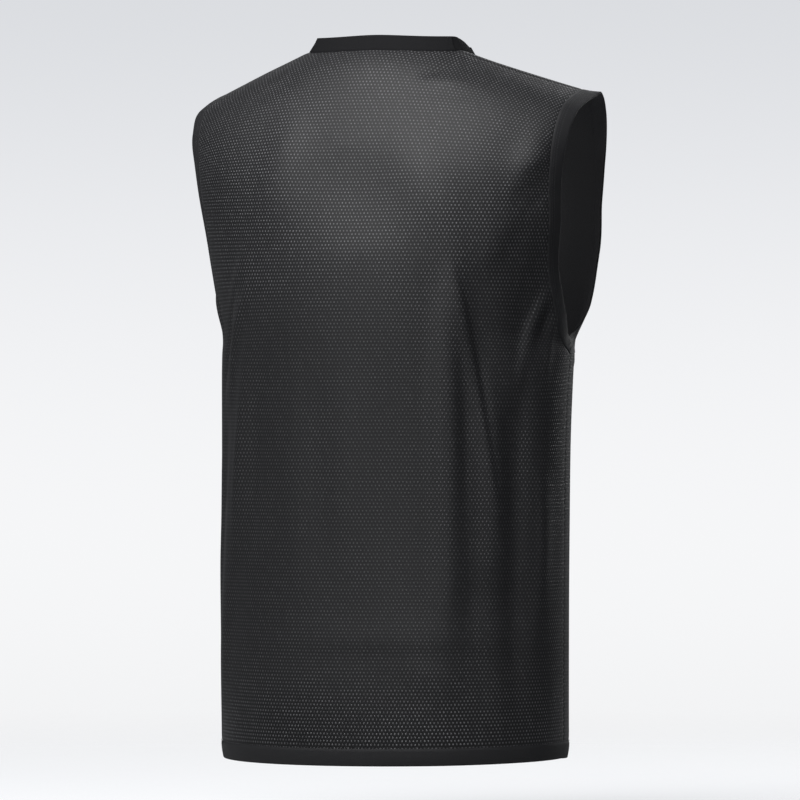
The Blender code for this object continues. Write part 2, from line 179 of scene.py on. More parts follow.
FOLDS = table(
    Fold,
    # name, across and z where it starts, across and z where it ends, width, height, run out
    ("long ridge", -0.385, -0.275, -0.375, -0.52, 0.032, 0.0048, 0.07),
    ("trough beside it", -0.47, -0.27, -0.45, -0.5, 0.028, -0.0014, 0.07),
    ("second ridge", -0.56, -0.335, -0.55, -0.54, 0.028, 0.0014, 0.08),
    ("side trough", -0.68, -0.33, -0.66, -0.6, 0.028, -0.0035, 0.08),
    ("underarm crease", -0.8, -0.262, -0.68, -0.32, 0.03, 0.0016, 0.045),
    ("blade hollow", -0.66, -0.17, -0.54, -0.29, 0.05, -0.0022, 0.07),
    ("left ridge", 0.5, -0.235, 0.62, -0.33, 0.028, 0.0035, 0.045),
    ("left trough", 0.63, -0.32, 0.7, -0.42, 0.028, -0.003, 0.05),
    ("left long ridge", 0.46, -0.32, 0.68, -0.57, 0.036, 0.0035, 0.08),
    ("low back fullness", -0.3, -0.6, -0.34, -0.67, 0.06, 0.003, 0.06),
    ("front long ridge", 1.62, -0.3, 1.66, -0.6, 0.034, 0.005, 0.11),
    ("front long trough", 1.5, -0.32, 1.52, -0.59, 0.03, -0.0035, 0.1),
    ("front right ridge", -1.58, -0.33, -1.68, -0.62, 0.032, 0.0045, 0.1),
    ("front right trough", -1.72, -0.31, -1.8, -0.56, 0.03, -0.0035, 0.1),
    ("front armhole crease", 1.28, -0.25, 1.44, -0.32, 0.03, 0.0012, 0.05),
    ("front right crease", -1.28, -0.255, -1.4, -0.33, 0.03, 0.001, 0.05),
)

CREASES = table(
    Crease,
    # name, path of across and z, width, height, lean
    (
        "long ridge",
        ((-0.385, -0.2), (-0.335, -0.277), (-0.325, -0.346), (-0.352, -0.436), (-0.4, -0.56)),
        0.026, 0.003, 0.3,
    ),
    (
        "ridge that splits off",
        ((-0.38, -0.205), (-0.41, -0.258), (-0.455, -0.319), (-0.525, -0.386), (-0.59, -0.5)),
        0.013, 0.0034, -0.4,
    ),
    (
        "trough between",
        ((-0.385, -0.255), (-0.408, -0.348), (-0.432, -0.403), (-0.42, -0.51)),
        0.014, -0.0018,
    ),
    (
        "side gutter",
        ((-0.53, -0.265), (-0.6, -0.366), (-0.66, -0.441), (-0.65, -0.56)),
        0.034, -0.0036, 0.2,
    ),
    (
        "blade edge",
        ((-1.0, -0.108), (-0.9, -0.112), (-0.77, -0.124), (-0.62, -0.15)),
        0.036, 0.005, -0.4,
    ),
    ("blade edge inward", ((-0.76, -0.138), (-0.6, -0.184), (-0.44, -0.226)), 0.044, 0.0034, -0.3),
    ("blade hollow", ((-0.94, -0.18), (-0.8, -0.235), (-0.65, -0.32)), 0.064, -0.0072),
    (
        "blade to spine",
        ((-0.09, -0.075), (-0.245, -0.118), (-0.366, -0.16), (-0.395, -0.23)),
        0.06, 0.0028,
    ),
    ("armhole pull", ((-0.985, -0.116), (-0.85, -0.121), (-0.727, -0.134)), 0.011, -0.0013),
    ("armhole pull below", ((-0.985, -0.14), (-0.86, -0.148), (-0.76, -0.164)), 0.012, -0.0012),
    (
        "underarm crease",
        ((-0.88, -0.238), (-0.79, -0.255), (-0.7, -0.29), (-0.65, -0.345)),
        0.011, 0.0032, 0.4,
    ),
    (
        "underarm second crease",
        ((-0.88, -0.262), (-0.84, -0.284), (-0.79, -0.34)),
        0.01, 0.0024, 0.4,
    ),
    ("underarm pinch", ((-0.87, -0.25), (-0.81, -0.268), (-0.74, -0.312)), 0.009, -0.002),
    ("spine hollow", ((0.045, -0.095), (-0.005, -0.14), (-0.05, -0.2)), 0.09, -0.0032),
    ("left band", ((0.255, -0.06), (0.322, -0.11), (0.345, -0.2)), 0.05, 0.0028),
    (
        "left crisp ridge",
        ((0.39, -0.215), (0.481, -0.259), (0.549, -0.299), (0.605, -0.36)),
        0.011, 0.003, 0.4,
    ),
    (
        "left crisp trough",
        ((0.44, -0.212), (0.54, -0.253), (0.64, -0.3), (0.72, -0.37)),
        0.012, -0.0024,
    ),
    ("left armhole crease", ((0.85, -0.24), (0.78, -0.256), (0.7, -0.29)), 0.012, 0.0026, -0.4),
    ("left lower ridge", ((0.43, -0.3), (0.505, -0.403), (0.575, -0.53)), 0.022, 0.0024, 0.3),
    ("left lower trough", ((0.34, -0.31), (0.4, -0.406), (0.44, -0.53)), 0.026, -0.0018),
    ("left hip ridge", ((0.78, -0.4), (0.76, -0.5), (0.79, -0.6)), 0.024, 0.0024, -0.3),
    ("mid back drift", ((0.17, -0.29), (0.215, -0.436), (0.195, -0.56)), 0.032, 0.0012, 0.3),
    ("mid back hollow", ((0.085, -0.31), (0.105, -0.426), (0.09, -0.56)), 0.03, -0.0012),
    ("spine drift", ((0.0, -0.28), (0.005, -0.42), (-0.02, -0.57)), 0.034, 0.0012),
    ("right of spine hollow", ((-0.13, -0.3), (-0.15, -0.426), (-0.17, -0.56)), 0.032, -0.0014),
    (
        "hip roll",
        ((0.5, -0.59), (0.06, -0.576), (-0.19, -0.584), (-0.455, -0.595), (-0.9, -0.584)),
        0.03, 0.001, 0.3,
    ),
    ("hip hollow", ((-0.4, -0.525), (-0.61, -0.546), (-0.86, -0.557)), 0.046, -0.0028),
    ("hip fullness", ((-0.18, -0.59), (-0.3, -0.62), (-0.43, -0.632)), 0.034, 0.0014),
    ("hip ridge right", ((-0.79, -0.39), (-0.81, -0.49), (-0.77, -0.6)), 0.024, 0.0024, 0.3),
    ("hem drift left", ((0.33, -0.62), (0.34, -0.69)), 0.04, 0.0014),
    ("hem drift right", ((-0.62, -0.6), (-0.6, -0.69)), 0.04, 0.0018),
    ("shoulder line", ((-0.235, -0.027), (-0.355, -0.019), (-0.5, -0.009)), 0.009, -0.0026),
    ("shoulder pull", ((-0.3, -0.036), (-0.42, -0.033), (-0.56, -0.034)), 0.012, 0.0022),
    ("left shoulder pull", ((0.33, -0.024), (0.48, -0.038), (0.64, -0.056)), 0.018, -0.0015),
    ("front centre drift", ((1.98, -0.22), (1.96, -0.38), (2.0, -0.59)), 0.04, 0.0018, 0.3),
    (
        "front long ridge",
        ((1.64, -0.215), (1.67, -0.34), (1.65, -0.46), (1.6, -0.57)),
        0.024, 0.003, 0.3,
    ),
    (
        "front ridge that splits off",
        ((1.63, -0.22), (1.56, -0.33), (1.48, -0.45)),
        0.014, 0.0032, -0.4,
    ),
    ("front side gutter", ((1.44, -0.26), (1.4, -0.39), (1.36, -0.53)), 0.032, -0.0032),
    ("front armhole crease", ((1.2, -0.25), (1.28, -0.278), (1.36, -0.335)), 0.012, 0.003, -0.4),
    ("front second crease", ((1.17, -0.268), (1.22, -0.296), (1.28, -0.36)), 0.011, 0.0024, -0.4),
    ("front chest drop", ((1.72, -0.12), (1.66, -0.17), (1.645, -0.24)), 0.044, 0.003),
    ("front collar hollow", ((1.9, -0.17), (1.8, -0.2), (1.7, -0.27)), 0.05, -0.0026),
    ("front right ridge", ((-1.62, -0.22), (-1.65, -0.35), (-1.72, -0.5)), 0.024, 0.003, -0.3),
    (
        "front right ridge that splits off",
        ((-1.6, -0.225), (-1.52, -0.34), (-1.46, -0.45)),
        0.014, 0.003, 0.4,
    ),
    ("front right gutter", ((-1.42, -0.27), (-1.39, -0.4), (-1.34, -0.53)), 0.032, -0.003),
    (
        "front right armhole crease",
        ((-1.2, -0.252), (-1.27, -0.28), (-1.36, -0.34)),
        0.012, 0.003, 0.4,
    ),
    (
        "front right second crease",
        ((-1.17, -0.272), (-1.23, -0.304), (-1.29, -0.365)),
        0.011, 0.0024, 0.4,
    ),
    (
        "front hip roll",
        ((1.35, -0.6), (1.7, -0.586), (2.2, -0.59), (2.65, -0.598)),
        0.032, 0.0012, -0.3,
    ),
    ("front mid drift", ((1.86, -0.32), (1.83, -0.45), (1.87, -0.58)), 0.034, 0.0016, 0.3),
    (
        "front right mid drift",
        ((-1.86, -0.3), (-1.89, -0.44), (-1.84, -0.57)),
        0.034, 0.0016, -0.3,
    ),
    ("front hem drift", ((-1.7, -0.61), (-1.72, -0.69)), 0.044, 0.0016),
)


@dataclass(frozen=True)
class NeckCut:
    """The neckline: an egg seen from above, tilted ahead of its widest place."""

    half_width: float = 0.0885
    widest_y: float = 0.0180
    back_depth: float = 0.0490
    front_depth: float = 0.1400
    tilt: float = math.radians(30)
    rise: float = 0.0035
    rise_run: float = 0.0180

    def depth(self, points: Array) -> Array:
        """Find how deep points lie in the egg.

        Args:
            points: Points of the cloth.

        Returns:
            Shares of the egg's depth, above 0 behind its widest place.
        """
        behind = points[..., 1] - self.widest_y
        fall = np.minimum(points[..., 2], 0.0)
        tilted = behind * math.cos(self.tilt) + fall * math.sin(self.tilt)
        return np.where(behind > 0, behind / self.back_depth, tilted / self.front_depth)

    def share(self, points: Array) -> Array:
        """Return how far out points lie from the neck's centre, 1 on the neckline."""
        return np.hypot(points[..., 0] / self.half_width, self.depth(points))


# ---- The cloth's form ----------------------------------------------------------------


def unit(vector: Array) -> Array:
    """Return the vectors at length 1."""
    return vector / np.linalg.norm(vector, axis=-1, keepdims=True)


def lengths(points: Array) -> Array:
    """Return how far along a path each of its points lies."""
    return np.concatenate([[0.0], np.cumsum(np.linalg.norm(np.diff(points, axis=0), axis=1))])


def pairs(across: Array | float, way: Array | float) -> tuple[Array, Array]:
    """Return across and way as float arrays of one shape."""
    return np.broadcast_arrays(np.asarray(across, float), np.asarray(way, float))


def positions(across: Array | float, way: Array | float) -> Array:
    """Return positions as rows of across and way."""
    return np.stack(pairs(across, way), axis=-1)


@dataclass
class ClothForm:
    """The garment's one surface, on which a position is (across, way).

    across is 0 on the centre line and 1 at the side. way runs from the back hem
    over the shoulder to the front hem.
    """

    sections: tuple[Section, ...]
    folds: tuple[Fold, ...]
    creases: tuple[Crease, ...] = ()
    neck: NeckCut = field(default_factory=NeckCut)
    quarter_girth: float = 0.2450
    step: float = 1e-4
    share_steps: int = 96
    way_steps: int = 480
    path_steps: int = 12
    path_order: int = 2
    fade_power: float = 1.2
    lean_run: float = 0.3
    foot_depth: float = 0.25
    foot_reach: float = 2.4
    farthest: float = 2.2

    def __post_init__(self) -> None:
        """Prepare the tables that the curves between sections need."""
        self.ways = np.array([s.way for s in self.sections])
        self.controls = np.array(
            [
                [
                    (0.0, s.mid_y, s.mid_z),
                    (s.straight, s.mid_y, s.mid_z),
                    (s.bend_x, s.bend_y, s.bend_z),
                    (s.end_x, s.end_y, s.end_z),
                ]
                for s in self.sections
            ]
        )
        self.reaches = np.array([s.reach for s in self.sections])
        corners = [Seam.BACK_UNDERARM.value, Seam.FRONT_UNDERARM.value]
        self.control_slopes = self._slopes(self.controls, [])
        self.reach_slopes = self._slopes(self.reaches, corners)
        self._measure()

    def _slopes(self, values: Array, corners: list[float]) -> tuple[Array, Array]:
        """Find the table's slopes before and after each knot.

        Args:
            values: One value, or set of values, a knot.
            corners: The knots whose two slopes are unlike.

        Returns:
            The slopes before and after each knot.
        """
        steps = (np.diff(values, axis=0).T / np.diff(self.ways)).T
        before = np.gradient(values, self.ways, axis=0)
        after = before.copy()
        for corner in np.flatnonzero(np.isin(self.ways, corners)):
            before[corner] = steps[corner - 1]
            after[corner] = steps[corner]
        return before, after

    def _between(self, values: Array, slopes: tuple[Array, Array], way: Array) -> Array:
        """Join the table's values by cubic curves.

        Args:
            values: The values at the knots.
            slopes: Their slopes before and after each knot.
            way: Where on the way the values are wanted.

        Returns:
            The values there.
        """
        before, after = slopes
        index = np.clip(np.searchsorted(self.ways, way, side="right") - 1, 0, len(self.ways) - 2)
        shape = way.shape + (1,) * (values.ndim - 1)
        length = (self.ways[index + 1] - self.ways[index]).reshape(shape)
        t = (way - self.ways[index]).reshape(shape) / length
        return (
            values[index] * (2 * t**3 - 3 * t**2 + 1)
            + after[index] * length * (t**3 - 2 * t**2 + t)
            + values[index + 1] * (3 * t**2 - 2 * t**3)
            + before[index + 1] * length * (t**3 - t**2)
        )

    def section_share(self, across: Array, way: Array) -> Array:
        """Return the share of the whole section at each position."""
        return across * self._between(self.reaches, self.reach_slopes, way)

    def _at_share(self, share: Array, way: Array) -> Array:
        """Find points of the smooth form.

        Args:
            share: Shares of the whole sections.
            way: Positions along the way.

        Returns:
            The points.
        """
        controls = self._between(self.controls, self.control_slopes, way)
        t = np.abs(share)[..., None]
        point = (
            controls[..., 0, :] * (1 - t) ** 3
            + controls[..., 1, :] * 3 * t * (1 - t) ** 2
            + controls[..., 2, :] * 3 * t**2 * (1 - t)
            + controls[..., 3, :] * t**3
        )
        neck = self.neck
        outside = np.maximum(neck.share(point) - 1.0, 0.0) * neck.half_width
        sideways = np.minimum(point[..., 0] / neck.half_width, 1.0) ** 2
        point[..., 2] += neck.rise * sideways * np.exp(-outside / neck.rise_run)
        return point

    def smooth(self, across: Array | float, way: Array | float) -> Array:
        """Find points of the smooth form, before its folds.

        Args:
            across: Positions across.
            way: Positions along the way.

        Returns:
            The points.
        """
        across, way = pairs(across, way)
        point = self._at_share(self.section_share(across, way), way)
        point[..., 0] *= np.where(across < 0, -1.0, 1.0)
        return point

    def normals(self, across: Array, way: Array) -> Array:
        """Find outward normals of the smooth form.

        Args:
            across: Positions across.
            way: Positions along the way.

        Returns:
            The normals, at length 1.
        """
        half = np.abs(across)
        step = self.step
        inner = half - np.minimum(step, half)
        along_across = self.smooth(half + step, way) - self.smooth(inner, way)
        along_way = self.smooth(half, way + step) - self.smooth(half, way - step)
        normal = unit(np.cross(along_way, along_across))
        normal[..., 0] *= np.where(np.asarray(across) < 0, -1.0, 1.0)
        return normal

    def fold_height(self, across: Array, way: Array, z: Array) -> Array:
        """Find how far the folds lift the cloth off the smooth form.

        Args:
            across: Positions across.
            way: Positions along the way.
            z: Heights of the smooth form there.

        Returns:
            The lifts, in metres.
        """
        share = self.section_share(across, way)
        side = np.where(across < 0, -1.0, 1.0)
        on_front = side * (FRONT_CENTRE - np.abs(share))
        girth = np.where(way <= Seam.SHOULDER.value, share, on_front)
        height = np.zeros(np.shape(girth))
        for fold in self.folds:
            run = np.array(
                [(fold.to_across - fold.across) * self.quarter_girth, fold.to_z - fold.z]
            )
            length = np.linalg.norm(run)
            run /= length
            from_start = np.stack(
                [(girth - fold.across) * self.quarter_girth, z - fold.z], axis=-1
            )
            along = from_start @ run
            aside = from_start @ np.array([-run[1], run[0]])
            past_end = np.maximum(np.maximum(-along, along - length), 0.0) / fold.run_out
            height += fold.height * np.exp(-((aside / (0.5 * fold.width)) ** 2) - past_end**2)
        for crease in self.creases:
            height += self.crease_height(crease, girth, z)
        return height

    def crease_height(self, crease: Crease, girth: Array, z: Array) -> Array:
        """Find how far one crease lifts the cloth.

        Args:
            crease: The crease.
            girth: Shares of a quarter of the way round, from the centre of the back.
            z: Heights.

        Returns:
            The lifts, in metres.
        """
        knots = np.array(crease.path)
        reach = np.linspace(0.0, 1.0, len(knots))
        fine = np.linspace(0.0, 1.0, self.path_steps + 1)
        curve = np.polyfit(reach, knots, min(len(knots) - 1, self.path_order))
        path = np.stack([np.polyval(curve[:, axis], fine) for axis in (0, 1)], axis=-1)
        path = path * [self.quarter_girth, 1.0]
        goes_past_front = knots[:, 0].max() > FRONT_CENTRE
        around = np.where((girth < 0) & goes_past_front, girth + 2 * FRONT_CENTRE, girth)
        spots = np.stack([around * self.quarter_girth, z], axis=-1)
        margin = self.farthest * crease.width
        low, high = path.min(axis=0) - margin, path.max(axis=0) + margin
        near = np.all((spots > low) & (spots < high), axis=-1)
        lift = np.zeros(np.shape(z))
        spots = spots[near]
        best = np.full(len(spots), np.inf)
        aside = np.zeros(len(spots))
        along = np.zeros(len(spots))
        for index, (start, end) in enumerate(zip(path[:-1], path[1:])):
            run = end - start
            length = float(np.hypot(*run))
            to_spot = spots - start
            at = np.clip(to_spot @ run / length**2, 0.0, 1.0)
            off = to_spot - at[..., None] * run
            far = np.hypot(off[..., 0], off[..., 1])
            nearer = far < best
            best = np.where(nearer, far, best)
            aside = np.where(nearer, np.sign(to_spot @ [run[1], -run[0]]) * far, aside)
            along = np.where(nearer, (index + at) / (len(path) - 1), along)
        fade = np.sin(math.pi * np.clip(along, 0.0, 1.0)) ** self.fade_power
        leaning = crease.lean * np.tanh(aside / (self.lean_run * crease.width))
        u = aside / (0.5 * crease.width * (1.0 + leaning))
        crest = (1.0 + self.foot_depth) * np.exp(-(u**2))
        rise = crest - self.foot_depth * np.exp(-((u / self.foot_reach) ** 2))
        lift[near] = crease.height * fade * rise
        return lift

    def cloth(self, across: Array | float, way: Array | float) -> tuple[Array, Array]:
        """Find the outer side of the folded cloth.

        Args:
            across: Positions across.
            way: Positions along the way.

        Returns:
            Its points, and the smooth form's normals there.
        """
        across, way = pairs(across, way)
        point = self.smooth(across, way)
        normal = self.normals(across, way)
        return point + normal * self.fold_height(across, way, point[..., 2])[..., None], normal

    def _measure(self) -> None:
        """Tabulate the cloth's lengths, from which its UV map is read."""
        share, way = np.meshgrid(
            np.linspace(0.0, 1.0, self.share_steps + 1),
            np.linspace(self.ways[0], self.ways[-1], self.way_steps + 1),
        )
        points = self._at_share(share, way)
        out = np.linalg.norm(np.diff(points, axis=1), axis=-1)
        self.girths = np.concatenate([np.zeros((len(out), 1)), np.cumsum(out, axis=1)], axis=1)
        self.rises = lengths(points[:, 0])

    def flat(self, across: Array | float, way: Array | float) -> Array:
        """Find where positions lie on the uncut cloth.

        Args:
            across: Positions across.
            way: Positions along the way.

        Returns:
            Distances out from the centre line and up from the back hem, in metres.
        """
        across, way = pairs(across, way)
        share = np.clip(np.abs(self.section_share(across, way)), 0.0, 1.0) * self.share_steps
        row = (way - self.ways[0]) / (self.ways[-1] - self.ways[0]) * self.way_steps
        column_at = np.clip(share.astype(int), 0, self.share_steps - 1)
        row_at = np.clip(row.astype(int), 0, self.way_steps - 1)
        s, t = share - column_at, row - row_at
        girths = self.girths
        near = girths[row_at, column_at] * (1 - s) + girths[row_at, column_at + 1] * s
        far = girths[row_at + 1, column_at] * (1 - s) + girths[row_at + 1, column_at + 1] * s
        out = (near * (1 - t) + far * t) * np.where(across < 0, -1.0, 1.0)
        up = self.rises[row_at] * (1 - t) + self.rises[row_at + 1] * t
        return np.stack([out, up], axis=-1)

    def crossings(self, outer: Array, inner: Array, rounds: int = 40) -> Array:
        """Find where the neckline is crossed.

        Args:
            outer: Positions outside the neckline.
            inner: Positions inside it, one for each.
            rounds: How often the stretch between them is halved.

        Returns:
            Positions on the neckline.
        """
        for _ in range(rounds):
            middle = (outer + inner) / 2
            inside = self.neck.share(self.smooth(middle[:, 0], middle[:, 1]))[:, None] < 1
            inner = np.where(inside, middle, inner)
            outer = np.where(inside, outer, middle)
        return outer

    def neck_edge(self, chest: float, steps: int = TRACE_STEPS) -> Array:
        """Trace half of the neckline, from the shoulder seam to the centre.

        Args:
            chest: A way outside the neckline on the panel that is cut.
            steps: How finely it is traced.

        Returns:
            Positions along it.
        """
        shoulder = Seam.SHOULDER.value
        corner = self.crossings(positions([1.0], shoulder), positions([0.0], shoulder))
        across = corner[0, 0] * np.cos(np.linspace(0.0, 0.5 * math.pi, steps)[1:])
        path = self.crossings(positions(across, chest), positions(across, shoulder))
        return np.concatenate([corner, path])

    def spaced(self, path: Array, count: int) -> Array:
        """Space positions evenly along a path on the form.

        Args:
            path: The path's positions.
            count: How many steps of equal length it is cut into.

        Returns:
            The steps' ends, one more than the steps.
        """
        points = self.smooth(path[:, 0], path[:, 1])
        gone = lengths(points)
        wanted = np.linspace(0.0, gone[-1], count + 1)
        return np.stack([np.interp(wanted, gone, path[:, axis]) for axis in (0, 1)], axis=-1)


# ---- Mesh building -------------------------------------------------------------------


def link(name: str, data: bpy.types.ID) -> Object:
    """Make an object and link it into the scene.

    Args:
        name: The object's name.
        data: Its mesh, lamp or camera.

    Returns:
        The object.
    """
    piece = bpy.data.objects.new(name, data)
    bpy.context.scene.collection.objects.link(piece)
    return piece


def make_mesh(
    name: str,
    points: Array,
    faces: list[list[int]],
    uv: Array,
    inside: Array,
    finishes: list[Material],
    sharp_angle: float = math.radians(55),
) -> Object:
    """Make one closed piece of cloth.

    Args:
        name: The piece's name.
        points: Its points.
        faces: Its faces, as indices into the points.
        uv: The flat cloth's metres at each point.
        inside: For each face, whether it is on the cloth's inner side.
        finishes: The outer and the inner material.
        sharp_angle: Edges that bend more than this are shaded sharp.

    Returns:
        The piece.
    """
    mesh = bpy.data.meshes.new(name)
    mesh.from_pydata(points.tolist(), [], faces)
    if signed_volume(points, faces) < 0:
        mesh.flip_normals()
    layer = mesh.uv_layers.new(name=CLOTH_UV)
    corners = np.empty(len(mesh.loops), dtype=np.int32)
    mesh.loops.foreach_get("vertex_index", corners)
    layer.data.foreach_set("uv", uv[corners].astype(np.float32).ravel())
    for finish in finishes:
        mesh.materials.append(finish)
    mesh.polygons.foreach_set("material_index", np.asarray(inside, dtype=np.int32))
    mesh.shade_smooth()
    mesh.set_sharp_from_angle(angle=sharp_angle)
    mesh.update()
    return link(name, mesh)


def signed_volume(points: Array, faces: list[list[int]]) -> float:
    """Measure which way the faces of a closed mesh point.

    Args:
        points: Its points.
        faces: Its faces.

    Returns:
        A measure of its volume, below 0 where the faces point inwards.
    """
    corners = np.array([face[:3] for face in faces])
    a, b, c = (points[corners[:, i]] for i in range(3))
    return float(np.sum(np.einsum("ij,ij->i", a, np.cross(b, c))))


def wall(
    name: str,
    outer: Array,
    inner: Array,
    uv: Array,
    finishes: list[Material],
) -> Object:
    """Make a wall between two grids of points, closed along its four edges.

    Args:
        name: The piece's name.
        outer: Its outer points, rows by columns.
        inner: Its inner points.
        uv: The flat cloth's metres, the same on both sides.
        finishes: The outer and the inner material.

    Returns:
        The piece.
    """
    rows, columns = outer.shape[:2]
    layer = rows * columns
    index = np.arange(layer).reshape(rows, columns)
    a, b = index[:-1, :-1].ravel(), index[:-1, 1:].ravel()
    c, d = index[1:, 1:].ravel(), index[1:, :-1].ravel()
    front = np.stack([a, b, c, d], axis=1)
    back = np.stack([d, c, b, a], axis=1) + layer
    rim = np.concatenate([index[0], index[1:, -1], index[-1, -2::-1], index[-2:0:-1, 0]])
    after = np.roll(rim, -1)
    edge = np.stack([after, rim, rim + layer, after + layer], axis=1)
    faces = np.concatenate([front, back, edge]).tolist()
    inside = np.concatenate([np.zeros(len(front)), np.ones(len(back)), np.zeros(len(edge))])
    points = np.concatenate([outer.reshape(-1, 3), inner.reshape(-1, 3)])
    flat = np.concatenate([uv.reshape(-1, 2)] * 2)
    return make_mesh(name, points, faces, flat, inside, finishes)


def tube(
    name: str,
    sections: Array,
    uv: Array,
    inner_from: int,
    closed: bool,
    finishes: list[Material],
) -> Object:
    """Make a band through closed sections.

    Args:
        name: The piece's name.
        sections: Points, sections by corners.
        uv: The flat cloth's metres at them.
        inner_from: The first corner that lies on the inner side.
        closed: Whether the last section joins the first.
        finishes: The outer and the inner material.

    Returns:
        The piece.
    """
    count, size = sections.shape[:2]
    ring, corner = np.meshgrid(
        np.arange(count if closed else count - 1), np.arange(size), indexing="ij"
    )
    ring, corner = ring.ravel(), corner.ravel()
    after, beside = (ring + 1) % count, (corner + 1) % size
    faces = np.stack(
        [
            ring * size + corner,
            ring * size + beside,
            after * size + beside,
            after * size + corner,
        ],
        axis=1,
    ).tolist()
    inside = (corner >= inner_from).astype(int).tolist()
    if not closed:
        faces.append(list(range(size - 1, -1, -1)))
        faces.append([(count - 1) * size + i for i in range(size)])
        inside += [0, 0]
    flat = uv.reshape(-1, 2)
    return make_mesh(name, sections.reshape(-1, 3), faces, flat, np.array(inside), finishes)


# ---- Finishes ------------------------------------------------------------------------


class Tree:
    """Short calls for building one node tree."""

    def __init__(self, tree: bpy.types.NodeTree) -> None:
        """Keep the tree."""
        self.tree = tree

    def add(self, kind: str, inputs: dict | None = None, **settings: object) -> bpy.types.Node:
        """Add a node.

        Args:
            kind: The node's type.
            inputs: What its sockets are linked or set to, by name or place.
            settings: Its properties.

        Returns:
            The node.
        """
        node = self.tree.nodes.new(kind)
        for key, value in settings.items():
            setattr(node, key, value)
        self.fill(node, inputs or {})
        return node

    def fill(self, node: bpy.types.Node, inputs: dict) -> None:
        """Link sockets of a node, or set constants on them.

        Args:
            node: The node.
            inputs: Sockets, nodes or constants, by the names or places of its sockets.
        """
        for key, value in inputs.items():
            if isinstance(value, bpy.types.Node):
                value = value.outputs[0]
            if isinstance(value, Socket):
                self.tree.links.new(value, node.inputs[key])
            else:
                node.inputs[key].default_value = value


class Nodes(Tree):
    """Short calls for building one material."""

    def __init__(self, name: str) -> None:
        """Make an empty material with a Principled shader.

        Args:
            name: The material's name.
        """
        self.material = bpy.data.materials.new(name)
        self.material.use_nodes = True
        super().__init__(self.material.node_tree)

    def shade(self, inputs: dict) -> None:
        """Link or set sockets of the shader."""
        self.fill(self.tree.nodes["Principled BSDF"], inputs)

    def math(self, operation: str, *values: object) -> Socket:
        """Return the result of a Math node."""
        return self.add("ShaderNodeMath", dict(enumerate(values)), operation=operation).outputs[0]

    def vector(self, operation: str, *values: object) -> Socket:
        """Return the result of a Vector Math node."""
        node = self.add("ShaderNodeVectorMath", dict(enumerate(values)), operation=operation)
        return node.outputs["Value" if operation == "LENGTH" else "Vector"]

    def smooth_step(
        self, value: object, low: float, high: float, to_low: object = 0.0, to_high: object = 1.0
    ) -> Socket:
        """Return a value mapped smoothly from low and high to other limits."""
        inputs = dict(enumerate((value, low, high, to_low, to_high)))
        return self.add("ShaderNodeMapRange", inputs, interpolation_type="SMOOTHSTEP").outputs[0]

    def noise(self, place: object, scale: float) -> Socket:
        """Return noise of a scale, in patches a metre, at a place."""
        inputs = {"Vector": place, "Scale": scale, "Detail": 2.0}
        return self.add("ShaderNodeTexNoise", inputs).outputs["Fac"]

    def mix(self, share: object, low: object, high: object) -> Socket:
        """Mix two colours.

        Args:
            share: The second colour's share.
            low: The colour at 0.
            high: The colour at 1.

        Returns:
            The mixed colour.
        """
        node = self.add("ShaderNodeMix", {"Factor": share}, data_type="RGBA")
        colours = [place for place, s in enumerate(node.inputs) if s.type == "RGBA"]
        self.fill(node, dict(zip(colours, (low, high))))
        return next(s for s in node.outputs if s.type == "RGBA")

    def uv(self) -> Socket:
        """Return the flat cloth's metres."""
        return self.add("ShaderNodeUVMap", uv_map=CLOTH_UV).outputs["UV"]

    def place(self) -> Socket:
        """Return places in the piece's own metres."""
        return self.add("ShaderNodeTexCoord").outputs["Object"]

    def split(self, vector: Socket) -> bpy.types.NodeInputs:
        """Return the X, Y and Z of a vector."""
        return self.add("ShaderNodeSeparateXYZ", {0: vector}).outputs

    def bump(self, height: object, distance: float) -> None:
        """Give the shader a bump of a height that is reached at 1."""
        inputs = {"Strength": 1.0, "Distance": distance, "Height": height}
        self.shade({"Normal": self.add("ShaderNodeBump", inputs)})


def grey(value: float, blue: float) -> tuple[float, float, float, float]:
    """Return a colour that is grey but for a little more blue."""
    return value, value, blue, 1.0


@dataclass(frozen=True)
class Sheen:
    """The soft light that fibres catch at a grazing angle."""

    weight: float = 0.02
    roughness: float = 0.50
    specular: float = 0.46

    def sockets(self) -> dict:
        """List what the sheen sets on the shader.

        Returns:
            The values, by the names of their sockets.
        """
        return {
            "Sheen Weight": self.weight,
            "Sheen Roughness": self.roughness,
            "Specular IOR Level": self.specular,
        }


